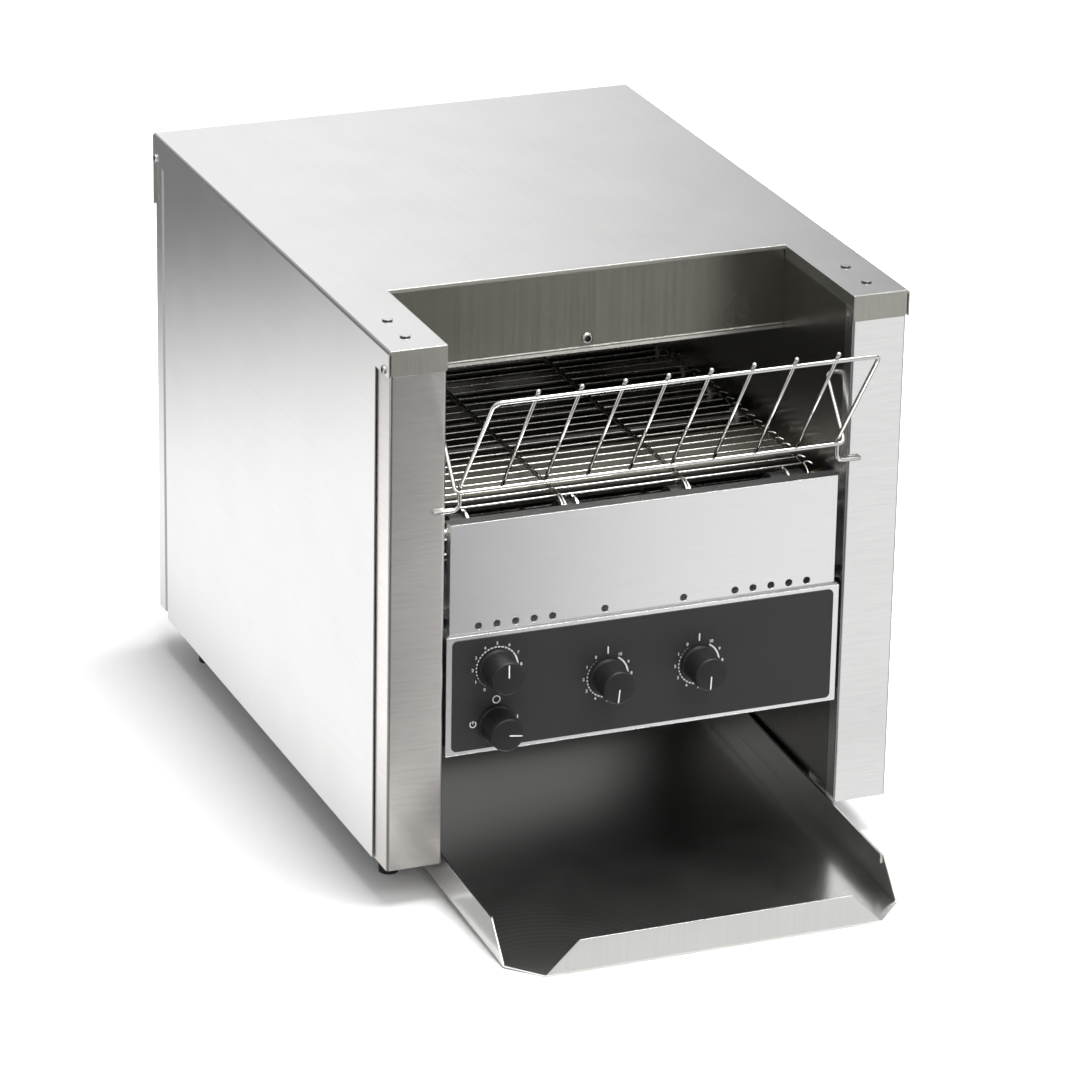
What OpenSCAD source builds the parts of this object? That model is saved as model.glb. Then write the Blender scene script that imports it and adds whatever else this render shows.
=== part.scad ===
// Conveyor toaster: sheet-metal body, wire belt with front drive, heaters above and inside the belt,
// control panel, feed rack and toast tray.  X is across, +Y runs from the front to the back, +Z is up.
// Inside the modules y = 0 is the front of the cover and z = 0 the bottom edge of the corner pillars;
// place() moves that frame so that the origin is the middle of the floor area the toaster takes up.

/* [Body] */
// Width over the outer cover
body_w = 470; // [460:1:500]
// Depth of the outer cover
body_d = 619; // [600:1:680]
// Height of the cover above the pillars' bottom edge
body_h = 469; // [460:1:500]
// Thickness of the sheet metal
sheet = 1.2; // [1:0.1:1.5]
// Bend radius of the cover's long edges
cover_r = 3; // [2:0.5:5]
// Width of each corner pillar
pillar_w = 51.7; // [48:0.1:54]
// Depth of the pillar's outer strip in front of the cover's side
ear_front = 32; // [28:1:38]
// Depth of the cut at the rear of the cover's sides
ear_rear = 31; // [27:1:36]
// Height of the cover's sides above that cut
ear_top = 27; // [26:1:40]
// Height of the cover's front flange
front_flange = 23; // [18:1:30]
// Height of the cover's rear flange
rear_flange = 67; // [50:1:90]
// Height of the folded edge around the notch
notch_fold = 12; // [8:1:16]
// Height of the feet below the pillars
foot_h = 35; // [32:1:50]
// Radius of a foot
foot_r = 10; // [9:0.5:12]
// Distance of the feet from the body's sides
foot_in = 30; // [28:1:34]
// Distance of the front feet from the front
foot_front = 72; // [66:1:110]
// Distance of the rear feet from the back
foot_rear = 60; // [50:1:120]

/* [Feed opening] */
// Depth of the notch over the feed opening
notch_d = 142; // [130:1:160]
// Height of the hood's lower lip
hood_z = 393; // [375:1:405]
// Height of the front deflector's top edge
deflector_top = 306.5; // [302:0.5:309]
// Gap between the front deflector and the pillars
deflector_gap = 6.1; // [2:0.1:9]
// Set-back of the deflector's face
deflector_y = 5; // [4:0.5:8]
// Radius of a vent hole
vent_r = 3.3; // [2:0.1:3.5]
// Spacing of the vent holes
vent_pitch = 16.8; // [14:0.1:18]
// Height of the vent holes above the deflector's lower edge
vent_up = 5.4; // [5:0.1:12]

/* [Control panel] */
// Gap between the control frame and the pillars
panel_gap = 2.6; // [1.5:0.1:4]
// Bottom edge of the control frame
panel_z = 98; // [95:1:104]
// Top edge of the control frame
panel_top = 206.4; // [204:0.1:212]
// Set-back of the control frame's face
panel_y = 2; // [2:0.5:4]
// Bare rim around the overlay
overlay_rim = 4.5; // [3:0.5:8]
// Corner radius of the overlay
overlay_r = 4.5; // [2:0.5:8]
// Thickness of the overlay
overlay_t = 0.8; // [0.5:0.1:1.2]
// Depth of the control box
box_d = 190; // [170:1:210]
// Length of a knob from the overlay to its face
knob_len = 28; // [22:1:32]
// Radius of a knob's grip at its face
knob_r = 14.8; // [11:0.1:16]
// Radius of a knob's skirt
skirt_r = 17; // [16.5:0.1:18]
// Radius of the control spindles
spindle_r = 3; // [2.5:0.1:3.5]
// Place across of the speed and mode knobs
left_knob_x = -135.3; // [-145:0.1:-125]
// Place across of the top heat knob
top_heat_x = -34; // [-44:0.5:-24]
// Place across of the bottom heat knob
bottom_heat_x = 50.5; // [40:0.5:56]
// Height of the speed knob above the frame's lower edge
speed_up = 76.5; // [74:0.5:80]
// Height of the mode knob above the frame's lower edge
mode_up = 25; // [23:0.5:28]
// Height of the heat knobs above the frame's lower edge
heat_up = 53.5; // [48:0.5:60]

/* [Conveyor] */
// Spacing of the belt's cross wires
belt_pitch = 15.24; // [15:0.01:15.4]
// Number of teeth on a belt disc
belt_teeth = 9; // [9:1:10]
// Number of belt pitches between the two shafts
belt_spans = 30; // [28:1:30]
// Radius of the belt wire
wire_r = 0.9; // [0.7:0.05:1.1]
// Gap between the belt and the inner walls
belt_gap = 8.5; // [7:0.1:12]
// Distance of the belt's inner strand joints from the middle
strand_x = 57.3; // [50:0.1:65]
// Distance of the nose shaft from the front
nose_y = 62; // [58:0.5:66]
// Height of the belt's upper run
belt_z = 297.5; // [294:0.5:299]
// Radius of the belt shafts
shaft_r = 6; // [5:0.1:7]

/* [Heaters] */
// Radius of a heating element
element_r = 4; // [3:0.1:5]
// Height of the upper elements
upper_element_z = 404; // [402:0.5:408]
// Spacing of the upper elements
upper_pitch = 80; // [70:1:85]
// Spacing of the lower elements
lower_pitch = 60; // [50:1:62]

/* [Toast tray] */
// Length of the toast tray
tray_len = 465; // [440:1:480]
// Gap between the tray and the pillars
tray_gap = 2.3; // [2:0.1:4]
// Height of the tray's sides
tray_side = 30; // [24:1:32]
// Slope of the tray in degrees
tray_slope = 2.55; // [2.2:0.05:2.8]
// Distance that the tray stands out in front of the body
tray_out = 165; // [140:1:180]
// Size of the tray's cut corners
tray_corner = 27; // [20:1:32]

/* [Feed rack] */
// Radius of the rack's frame wires
rack_r = 1.9; // [1.6:0.1:2.1]
// Radius of the rack's cross wires
rung_r = 1.5; // [1.2:0.1:1.7]
// Height of the rack's lower rail
rail_low_z = 339.5; // [334:0.5:344]
// Height of the rack's upper rail
rail_top_z = 443.5; // [430:0.5:455]
// Reach of the upper rail in front of the lower rail
rack_lean = 72; // [60:1:80]
// Distance of the rack's legs from the pillars
rack_gap = 11.3; // [10:0.1:14]
// Spacing of the rack's cross wires
rung_pitch = 38.3; // [34:0.1:40]
// Height of the pivots in the side walls
pivot_z = 389; // [384:0.5:394]
// Distance of the pivots from the front
pivot_y = 35.5; // [32:0.5:40]

/* [Chain drive] */
// Teeth of the sprocket on the nose shaft
shaft_teeth = 18; // [16:1:20]
// Teeth of the motor sprocket
motor_teeth = 12; // [11:1:14]
// Distance of the motor shaft from the front
motor_y = 95; // [90:1:110]
// Height of the motor shaft
motor_z = 150; // [146:1:158]

/* [Hidden] */
$fn = 48;

// clearances
seat = 0.1;          // sheet edge beside the wall that carries it
run_fit = 0.06;      // shaft in a bearing, on the radius
press_fit = 0.02;    // hub or knob on its shaft, on the radius
move_gap = 0.3;      // least gap between pieces that move past each other
hole_gap = 0.1;      // screw or bush in its hole, on the radius

// widths
half_w = body_w / 2;
mouth_x = half_w - pillar_w;            // edge of the opening between the pillars
liner_x = mouth_x + sheet;              // inner face of the inner walls
wall_out = liner_x + sheet;             // outer face of the inner walls
liner_half = liner_x - seat;            // half width of what spans wall to wall
pillar_out = half_w - sheet - 0.6;      // outer face of the pillars' side strips
rear_out = pillar_out - 0.6;            // outer face of the rear panel's sides
base_half = rear_out - 2 * sheet;       // half width of the base pan
cover_under = body_h - sheet;           // underside of the cover's top
notch_lip = 3.4;                        // height of the cover's fold along the notch's rear edge
hood_y = notch_d + sheet;               // front face of the hood panel, behind that fold
hood_fold = 21;                         // depth of the hood panel's folded edges
hood_hem = 4.5;
pillar_r = 2.5;                         // outer bend radius of the pillars
wall_y = sheet + pillar_r + seat;       // front edge of the inner walls, behind that bend
corner_seam = 1.2;                      // open corner between the cover's side and its front flange
flange_r = 3;                           // round of the front flange's lower corners
joggle = 2.2;                           // step of the rear panel's sides, which tucks them under the cover
joggle_len = 5;
joggle_at = 17;                         // distance of that step from the back

// base and feet
pan_z = sheet;                          // underside of the base pan
pan_top = 2 * sheet;
pan_upstand = 14;                       // top of the base pan's side edges
plate_drop = 29;                        // from the cover's top down to the rear panel's plate
side_drop = 9;                          // from the cover's top down to the rear panel's sides
foot_taper = 1.5;
foot_neck_len = 8;
foot_hole_r = 4.5;
foot_hole_len = 8;
duct = [40, 4, 40];                     // half width, bottom and top of the air openings by the fan
rear_lip_y = body_d - ear_rear - 4;     // front edge of the rear panel's sides, under the cover
back_y = body_d - sheet;                // inner face of the cover's rear flange
panel_back = back_y - sheet;            // inner face of the rear panel
foot_x = half_w - foot_in;
foot_neck_r = foot_r - 4;
pillar_flange = foot_front - foot_neck_r - 2;
pillar_fold = 16;                       // depth of the pillars' inner folds
foot_ys = [foot_front, body_d - foot_rear];

// conveyor
belt_r = belt_teeth * belt_pitch / (2 * PI);
axle_z = belt_z - belt_r;
tail_y = nose_y + belt_spans * belt_pitch;
run_len = tail_y - nose_y;
belt_loop = 2 * run_len + 2 * PI * belt_r;
wire_count = 2 * belt_spans + belt_teeth;
return_top = axle_z - belt_r + wire_r;
disc_r = belt_r - wire_r - 0.4;         // discs turn inside the belt's wires
disc_t = 2;
hub_r = 16;
hub_len = 13;
link_w = 5;                             // width of a hook
link_t = 1.1;
link_gap = 0.15;                        // between a hook and the next wire
belt_half = liner_x - belt_gap;
disc_xs = [31 - belt_half, -45, 57, belt_half - 25];
edge_x = belt_half - link_w / 2;
bush_r = shaft_r + 3;
bush_flange_r = bush_r + 4;
bush_flange_t = 2.5;
bush_out = wall_out + 4.3;

// heaters
hood_to_element = 58;
upper_ys = [for (i = [0:3]) notch_d + hood_to_element + i * upper_pitch];
tail_to_element = 99.2;
lower_ys = [for (i = [0:3]) tail_y - tail_to_element - (3 - i) * lower_pitch];
lower_element_z = axle_z;
ceramic_r = element_r + 1.5;
ceramic_flange_r = element_r + 4;
ceramic_flange_t = 2;
ceramic_out = wall_out + 3.5;
element_end = wall_out + 10;
element_to_pan = 26;
upper_pan_past = 60;                   // reach of the upper reflector past the last element
lower_pan_past = 35;
upper_pan_z = upper_element_z + element_to_pan;
upper_pan_end = upper_ys[3] + upper_pan_past;
lower_pan_z = return_top + 5;
lower_pan = [lower_ys[0] - lower_pan_past, lower_ys[3] + lower_pan_past];
pan_lip = 8;

// shield and baffle
shield_z = panel_top + sheet + 14.4;
shield_y = [26, 480];
baffle_z = belt_z - wire_r - 11;
baffle_gap = 15;                        // between the baffle and what lies before and behind it
baffle_y = [nose_y + belt_r + baffle_gap, lower_pan[0] - baffle_gap];

// control panel
box_floor = panel_z + sheet;
panel_half = mouth_x - panel_gap;
deflector_half = mouth_x - deflector_gap;
frame_fold = 16;                        // depth of the frame's folded edges
deflector_folds = [13.5, 14, 9];        // depth of the deflector's top, bottom and side folds
inner_vent_x = 36.2;                    // place of the two vents near the middle
overlay_y = panel_y - overlay_t;        // front face of the overlay
knob_base = overlay_y - 0.5;
knob_face = overlay_y - knob_len;
knob_top_r = knob_r - 1.4;              // flat part of the knob's face
skirt_t = 3;
mark_w = 1.3;
bushing_r = spindle_r + 2;
dial_y = panel_y + sheet;               // inner face of the control frame
spindle_in = dial_y + 12;
spindle_out = knob_face + 11;
speed_at = [left_knob_x, panel_z + speed_up];
mode_at = [left_knob_x, panel_z + mode_up];
top_heat_at = [top_heat_x, panel_z + heat_up];
bottom_heat_at = [bottom_heat_x, panel_z + heat_up];
dials = [speed_at, mode_at, top_heat_at, bottom_heat_at];
speed_pointer = 90;                     // pointer angles, from +X towards +Z
mode_pointer = -8;
top_heat_pointer = 264;
bottom_heat_pointer = 267;

// chain drive, in the right side compartment
chain_pitch = 6.35;
chain_x = wall_out + 20;
roller_r = 1.65;
shaft_pitch_r = chain_pitch / (2 * sin(180 / shaft_teeth));
motor_pitch_r = chain_pitch / (2 * sin(180 / motor_teeth));
chain_dy = motor_y - nose_y;
chain_dz = motor_z - axle_z;
chain_d = norm([chain_dy, chain_dz]);
chain_dir = atan2(chain_dz, chain_dy);
chain_wrap = acos((shaft_pitch_r - motor_pitch_r) / chain_d);
chain_run = sqrt(pow(chain_d, 2) - pow(shaft_pitch_r - motor_pitch_r, 2));
motor_arc = motor_pitch_r * chain_wrap * PI / 90;
shaft_arc = shaft_pitch_r * (180 - chain_wrap) * PI / 90;
chain_loop = 2 * chain_run + motor_arc + shaft_arc;
chain_links = round(chain_loop / chain_pitch);
link_in = 2.2;                          // chain plates, from the chain's middle plane
link_out = 3.2;
link_half = 2.8;
sprocket_t = 2.8;
output_r = 4;
gear_size = 60;
motor_can_r = 25;
motor_can_len = 66;

// fan on the base pan
fan_y = tail_y - 4;
fan_w = 80;
fan_t = 25;
fan_bore = 38;
fan_hub_r = 15;
fan_motor_t = 5;
guard_pitch = 10;                       // rings of slots under the fan
guard_slot = 6;

// tray and its runners
tray_half = mouth_x - tray_gap;
tray_z = 0.3 - foot_h;                  // underside of the tray at its lip
tray_rear = tray_len - tray_out;
tray_reach = tray_out + tray_side * sin(tray_slope);
lip_half = tray_half - tray_corner;
tray_hem = 8;
runner_y = [pillar_flange + 2, tray_rear + 34];
runner_in = mouth_x - 18;
runner_x = liner_x - sheet + 0.2;
tray_cut = runner_y[1];

// slide from the back of the belt to the tray: a bend, then a straight that ends above the tray
slide_back = panel_back - 24;
slide_r = 100;
slide_bend = [slide_back + sheet - slide_r, 170];
slide_end = [tray_rear - 20, pan_top + 3];
slide_way = slide_bend - slide_end;
slide_slope = atan2(slide_way[1], slide_way[0]) - asin(slide_r / norm(slide_way));
slide_top = axle_z - belt_r + 8;
slide_front_half = tray_half - 4;

// rack
rack_y = sheet - move_gap - rack_r;     // foot ends, just in front of the pillars
rail_y = rack_y - 2 * rack_r + 0.2;
top_y = rail_y - rack_lean;
side_x = mouth_x - rack_gap;
arm_x = liner_x - 7.5;
rail_end = liner_x + 10.4;
foot_wire_z = rail_low_z - 17;
rack_bend = 7;
rack_slant = atan2(rail_top_z - rail_low_z, rack_lean);
rung_back = rack_r + rung_r - 0.2;

// screws
screw_r = 2;
head_r = 4;
head_t = 2;
button_x = half_w - 26;
button_ys = [31.5, 73.5];
arm_flange = button_ys[1] + 21.5;       // reach of the pillars' top flanges
ear_screw_y = 11;
ear_screw_z = body_h - 19;
rear_screw_y = body_d - 9;
rear_screw_z = body_h - 21;
hood_screw_z = hood_z + 12;

// cord gland
gland_x = -(half_w - 30);
gland_z = 40;
gland_r = 8;
gland_out = 14;
gland_bore = 4.5;

// origin: the middle of the floor area that the tray, the body and the gland take up
front_y = (tray_reach - body_d - gland_out) / 2;

module place() {
    translate([0, front_y, foot_h]) children();
}

module both_sides() {
    children();
    mirror([1, 0, 0]) children();
}

// box from one corner to the other
module slab(from, to) {
    translate(from) cube(to - from);
}

// rod along X, Y or Z from a point
module rod_x(at, r, len) {
    translate(at) rotate([0, 90, 0]) cylinder(r = r, h = len);
}

module rod_y(at, r, len) {
    translate(at) rotate([-90, 0, 0]) cylinder(r = r, h = len);
}

// flat shape drawn in (y, z), thick along X from x
module side_plate(x, t) {
    translate([x, 0, 0]) rotate([90, 0, 90]) linear_extrude(t) children();
}

// flat shape drawn in (x, z), thick along Y from y
module front_plate(y, t) {
    translate([0, y + t, 0]) rotate([90, 0, 0]) linear_extrude(t) children();
}

// ---------- body ----------

// front outline of the cover, or of its inside, from the height low
module cover_outline(inset, low) {
    r = cover_r - inset;
    w = half_w - inset;
    h = body_h - inset;
    union() {
        translate([-w, low]) square([2 * w, h - r - low]);
        translate([-w + r, low]) square([2 * (w - r), h - low]);
        for (side = [-1, 1]) translate([side * (w - r), h - r]) circle(r);
    }
}

module ear_screw_holes(r) {
    for (at = [[ear_screw_y, ear_screw_z], [rear_screw_y, rear_screw_z]])
        rod_x([-half_w - 5, at[0], at[1]], r, body_w + 10);
}

module button_holes() {
    for (x = [-button_x, button_x], y = button_ys)
        translate([x, y, body_h - 10]) cylinder(r = screw_r + hole_gap, h = 20);
}

// the two front flanges, with a straight side along the notch and round lower corners
module front_flanges() {
    low = body_h - front_flange;
    out = half_w - sheet - corner_seam;
    seam_top = body_h - cover_r;
    difference() {
        cover_outline(0, low);
        translate([-mouth_x, 0]) square([2 * mouth_x, body_h + 1]);
        for (side = [-1, 1]) {
            translate([side > 0 ? out : -out - corner_seam, 0]) square([corner_seam, seam_top]);
            translate([side * (out - flange_r), low + flange_r]) corner_waste(side);
            translate([side * (mouth_x + flange_r), low + flange_r]) corner_waste(-side);
        }
    }
}

// what a rounded lower corner takes away, on the given side of the round's centre
module corner_waste(side) {
    difference() {
        translate([side > 0 ? 0 : -flange_r - 0.01, -flange_r - 1]) square([flange_r + 0.01, flange_r + 1]);
        circle(flange_r);
    }
}

module outer_cover() {
    color("gainsboro") place() difference() {
        union() {
            difference() {
                front_plate(0, body_d) cover_outline(0, 0);
                front_plate(-1, body_d + 2) cover_outline(sheet, -1);
                slab([-half_w - 1, -1, -2], [half_w + 1, ear_front, body_h - front_flange]);
                slab([-half_w - 1, body_d - ear_rear, -2], [half_w + 1, body_d + 1, body_h - ear_top]);
                slab([-mouth_x, -1, body_h - 20], [mouth_x, notch_d, body_h + 1]);
            }
            front_plate(0, sheet) front_flanges();
            front_plate(back_y, sheet) cover_outline(0, body_h - rear_flange);
            both_sides() slab([mouth_x, 0, body_h - notch_fold], [liner_x, notch_d - seat, body_h]);
            slab([-mouth_x, notch_d, body_h - notch_lip], [mouth_x, hood_y, body_h]);
        }
        ear_screw_holes(screw_r + hole_gap);
        button_holes();
    }
}

// plan of the left corner post, or of its inside, with its two round front corners
module pillar_plan(inset) {
    r = pillar_r - inset;
    left = -pillar_out + inset;
    wide = pillar_out - mouth_x - 2 * inset;
    front = sheet + inset;
    union() {
        translate([left + r, front]) square([wide - 2 * r, pillar_flange - sheet]);
        translate([left, front + r]) square([wide, pillar_flange - sheet - r]);
        for (x = [left + r, left + wide - r]) translate([x, front + r]) circle(r);
    }
}

// left corner post: front face, side strip, inner fold, top and bottom flanges
module pillar() {
    top = cover_under;
    fold_top = body_h - notch_fold - seat;
    difference() {
        union() {
            linear_extrude(fold_top) difference() {
                pillar_plan(0);
                pillar_plan(sheet);
                translate([-liner_x - sheet, pillar_fold]) square([3 * sheet, pillar_flange]);
            }
            slab([-pillar_out + cover_r, sheet, fold_top - 1], [-liner_x - seat, 2 * sheet, top]);
            slab([-pillar_out + sheet, sheet, top - sheet], [-wall_out - seat, arm_flange, top]);
            linear_extrude(sheet) difference() {
                pillar_plan(0);
                translate([-liner_x, pillar_fold]) square([2 * sheet, pillar_flange]);
            }
        }
        ear_screw_holes(screw_r + hole_gap);
        button_holes();
    }
}

module left_pillar() {
    color("silver") place() pillar();
}

module right_pillar() {
    color("silver") place() mirror([1, 0, 0]) pillar();
}

module fan_guard_slots() {
    translate([0, fan_y, pan_z - 1]) difference() {
        union() {
            for (r = [guard_pitch:guard_pitch:fan_bore - guard_slot]) difference() {
                cylinder(r = r + guard_slot, h = 4);
                translate([0, 0, -1]) cylinder(r = r, h = 6);
            }
        }
        for (a = [45, 135]) rotate(a) slab([-fan_w, -2, -1], [fan_w, 2, 6]);
    }
}

module base_pan() {
    color("darkgray") place() difference() {
        union() {
            slab([-base_half, 2 * sheet + seat, pan_z], [base_half, panel_back, pan_top]);
            both_sides()
                slab([base_half - sheet, 2 * sheet + seat, pan_z], [base_half, rear_lip_y - 2, pan_upstand]);
        }
        slab([-liner_x, -1, 0], [liner_x, tray_cut, 20]);
        fan_guard_slots();
        for (x = [-foot_x, foot_x], y = foot_ys)
            translate([x, y, 0]) cylinder(r = screw_r + hole_gap, h = 10);
    }
}

// plan of the rear panel's right side: a flat at the corner, a step inwards and a lip under the cover
module rear_side() {
    step_y = body_d - joggle_at;
    in_x = rear_out - joggle;
    ease = sheet * tan(atan2(joggle, joggle_len) / 2);
    polygon([
        [rear_out, back_y], [rear_out, step_y], [in_x, step_y - joggle_len], [in_x, rear_lip_y],
        [in_x - sheet, rear_lip_y], [in_x - sheet, step_y - joggle_len + ease],
        [rear_out - sheet, step_y + ease], [rear_out - sheet, back_y]
    ]);
}

module rear_panel() {
    slot_w = 44;
    slot_h = 4;
    slot_pitch = 62;
    row_pitch = 12;
    first_row = 300;
    color("silver") place() difference() {
        union() {
            slab([-rear_out, panel_back, pan_top], [rear_out, back_y, body_h - plate_drop]);
            both_sides() translate([0, 0, pan_top]) linear_extrude(body_h - side_drop - pan_top) rear_side();
        }
        for (row = [0:5], col = [-2:2])
            slab([col * slot_pitch - slot_w / 2, panel_back - 1, first_row + row * row_pitch],
                 [col * slot_pitch + slot_w / 2, back_y + 1, first_row + row * row_pitch + slot_h]);
        rod_y([gland_x, panel_back - 1, gland_z], gland_r + hole_gap, 5);
        ear_screw_holes(screw_r + hole_gap);
    }
}

module feet() {
    color("dimgray") place() for (x = [-foot_x, foot_x], y = foot_ys)
        translate([x, y, -foot_h]) difference() {
            union() {
                cylinder(r1 = foot_r - foot_taper, r2 = foot_r, h = foot_h - foot_neck_len);
                translate([0, 0, foot_h - foot_neck_len])
                    cylinder(r = foot_neck_r, h = foot_neck_len + pan_z);
            }
            translate([0, 0, -1]) cylinder(r = foot_hole_r, h = foot_hole_len + 1);
        }
}

// ---------- chamber ----------

module inner_wall() {
    difference() {
        slab([-wall_out, wall_y, pan_top], [-liner_x, panel_back, cover_under]);
        for (y = [nose_y, tail_y]) rod_x([-wall_out - 1, y, axle_z], bush_r + hole_gap, 5);
        for (y = upper_ys) rod_x([-wall_out - 1, y, upper_element_z], ceramic_r + hole_gap, 5);
        for (y = lower_ys) rod_x([-wall_out - 1, y, lower_element_z], ceramic_r + hole_gap, 5);
        rod_x([-wall_out - 1, pivot_y, pivot_z], rack_r + run_fit, 5);
        slab([-wall_out - 1, fan_y - duct[0], pan_top + duct[1]],
             [-liner_x + 1, fan_y + duct[0], pan_top + duct[2]]);
    }
}

module left_inner_wall() {
    color("gray") place() inner_wall();
}

module right_inner_wall() {
    color("gray") place() difference() {
        mirror([1, 0, 0]) inner_wall();
        rod_x([liner_x - 1, motor_y, motor_z], output_r + 3, 5);
    }
}

module hood_panel() {
    color("dimgray") place() difference() {
        union() {
            slab([-liner_half, hood_y, hood_z], [liner_half, hood_y + sheet, cover_under]);
            slab([-liner_half, hood_y, cover_under - sheet], [liner_half, hood_y + hood_fold, cover_under]);
            slab([-liner_half, hood_y, hood_z], [liner_half, hood_y + hood_fold, hood_z + sheet]);
            slab([-mouth_x + seat, hood_y - sheet, hood_z], [mouth_x - seat, hood_y, hood_z + hood_hem]);
        }
        rod_y([0, hood_y - 1, hood_screw_z], screw_r + hole_gap, 5);
    }
}

module hood_screw() {
    color("lightgray") place() {
        rod_y([0, hood_y - head_t, hood_screw_z], head_r, head_t);
        rod_y([0, hood_y - 1, hood_screw_z], screw_r, 9);
    }
}

module upper_reflector() {
    front = hood_y + sheet;
    color("lightgray") place() difference() {
        union() {
            slab([-liner_half, front, upper_pan_z], [liner_half, upper_pan_end, upper_pan_z + sheet]);
            slab([-liner_half, front, hood_z + 5], [liner_half, front + sheet, upper_pan_z]);
            slab([-liner_half, upper_pan_end - sheet, hood_z + 5], [liner_half, upper_pan_end, upper_pan_z]);
        }
        rod_y([0, front - 1, hood_screw_z], screw_r + hole_gap, 5);
    }
}

module lower_reflector() {
    color("lightgray") place() {
        slab([-liner_half, lower_pan[0], lower_pan_z], [liner_half, lower_pan[1], lower_pan_z + sheet]);
        for (y = [lower_pan[0], lower_pan[1] - sheet])
            slab([-liner_half, y, lower_pan_z], [liner_half, y + sheet, lower_pan_z + pan_lip]);
    }
}

module element_set(ys, z) {
    for (y = ys) rod_x([-element_end, y, z], element_r, 2 * element_end);
}

module upper_elements() {
    color("dimgray") place() element_set(upper_ys, upper_element_z);
}

module lower_elements() {
    color("dimgray") place() element_set(lower_ys, lower_element_z);
}

module insulator(y, z) {
    inner = liner_x - ceramic_flange_t;
    difference() {
        union() {
            rod_x([inner, y, z], ceramic_flange_r, ceramic_flange_t);
            rod_x([inner, y, z], ceramic_r, ceramic_out - inner);
        }
        rod_x([inner - 1, y, z], element_r + press_fit, ceramic_out - inner + 2);
    }
}

module element_insulators() {
    color("ivory") place() both_sides() {
        for (y = upper_ys) insulator(y, upper_element_z);
        for (y = lower_ys) insulator(y, lower_element_z);
    }
}

module heat_shield() {
    color("silver") place() {
        slab([-liner_half, shield_y[0], shield_z], [liner_half, shield_y[1], shield_z + sheet]);
        for (y = [shield_y[0], shield_y[1] - sheet])
            slab([-liner_half, y, shield_z - pan_lip], [liner_half, y + sheet, shield_z]);
    }
}

module belt_baffle() {
    color("tan") place() {
        slab([-liner_half, baffle_y[0], baffle_z - sheet], [liner_half, baffle_y[1], baffle_z]);
        for (y = [baffle_y[0], baffle_y[1] - sheet])
            slab([-liner_half, y, baffle_z - pan_lip], [liner_half, y + sheet, baffle_z]);
    }
}

module front_deflector() {
    low = panel_top + sheet;
    half = deflector_half;
    group = [for (i = [5:9]) i * vent_pitch];
    vents = concat(group, [inner_vent_x]);
    color("whitesmoke") place() difference() {
        union() {
            slab([-half, deflector_y, low], [half, deflector_y + sheet, deflector_top]);
            slab([-half, deflector_y, deflector_top - sheet],
                 [half, deflector_y + deflector_folds[0], deflector_top]);
            slab([-half, deflector_y, low], [half, deflector_y + deflector_folds[1], low + sheet]);
            both_sides()
                slab([half - sheet, deflector_y, low],
                     [half, deflector_y + deflector_folds[2], deflector_top]);
        }
        for (x = vents, side = [-1, 1]) rod_y([side * x, deflector_y - 1, low + vent_up], vent_r, 5);
    }
}

// ---------- conveyor ----------

// point (y, z) at distance s along the belt from the start of its upper run, on the loop of radius r
function belt_point(s, r = belt_r) =
    s < run_len ? [nose_y + s, axle_z + r]
    : s < run_len + PI * belt_r ? arc_point(tail_y, r, 90 - (s - run_len) / belt_r * 180 / PI)
    : s < 2 * run_len + PI * belt_r ? [tail_y - (s - run_len - PI * belt_r), axle_z - r]
    : arc_point(nose_y, r, 270 - (s - 2 * run_len - PI * belt_r) / belt_r * 180 / PI);

function arc_point(y, r, angle) = [y + r * cos(angle), axle_z + r * sin(angle)];

// one wire of the belt, with the hooks that reach back to the wire behind it
module belt_wire(s) {
    at = belt_point(s);
    reach = belt_loop / wire_count - wire_r - link_gap;
    steps = 6;
    outer = [for (i = [0:steps]) belt_point(s + i * reach / steps, belt_r + link_t / 2)];
    inner = [for (i = [steps:-1:0]) belt_point(s + i * reach / steps, belt_r - link_t / 2)];
    rod_x([-belt_half, at[0], at[1]], wire_r, 2 * belt_half, $fn = 16);
    for (x = [-edge_x, -strand_x, strand_x, edge_x])
        side_plate(x - link_w / 2, link_w) polygon(concat(outer, inner));
}

module conveyor_belt() {
    color("lightgray") place()
        for (i = [0:wire_count - 1]) union() belt_wire(i * belt_loop / wire_count);
}

module belt_disc(y, x) {
    side_plate(x, disc_t) difference() {
        translate([y, axle_z]) circle(disc_r);
        for (i = [0:belt_teeth - 1])
            translate(arc_point(y, disc_r + 0.6, 90 + i * 360 / belt_teeth)) circle(2);
        translate([y, axle_z]) circle(shaft_r + press_fit);
    }
}

module belt_hub(y, x, len) {
    difference() {
        rod_x([x, y, axle_z], hub_r, len);
        rod_x([x - 1, y, axle_z], shaft_r + press_fit, len + 2);
    }
}

module hub_set(y) {
    for (x = disc_xs) belt_hub(y, x - hub_len, hub_len);
    belt_hub(y, disc_xs[3] + disc_t, hub_len + 4);
}

module belt_shaft(y, right_end) {
    rod_x([-bush_out - 10, y, axle_z], shaft_r, bush_out + 10 + right_end);
}

module drive_shaft() {
    color("silver") place() belt_shaft(nose_y, chain_x + 10);
}

module drive_discs() {
    color("gainsboro") place() for (x = disc_xs) belt_disc(nose_y, x);
}

module drive_hubs() {
    color("dimgray") place() hub_set(nose_y);
}

module idler_shaft() {
    color("silver") place() belt_shaft(tail_y, bush_out + 10);
}

module idler_discs() {
    color("gainsboro") place() for (x = disc_xs) belt_disc(tail_y, x);
}

module idler_hubs() {
    color("dimgray") place() hub_set(tail_y);
}

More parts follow.
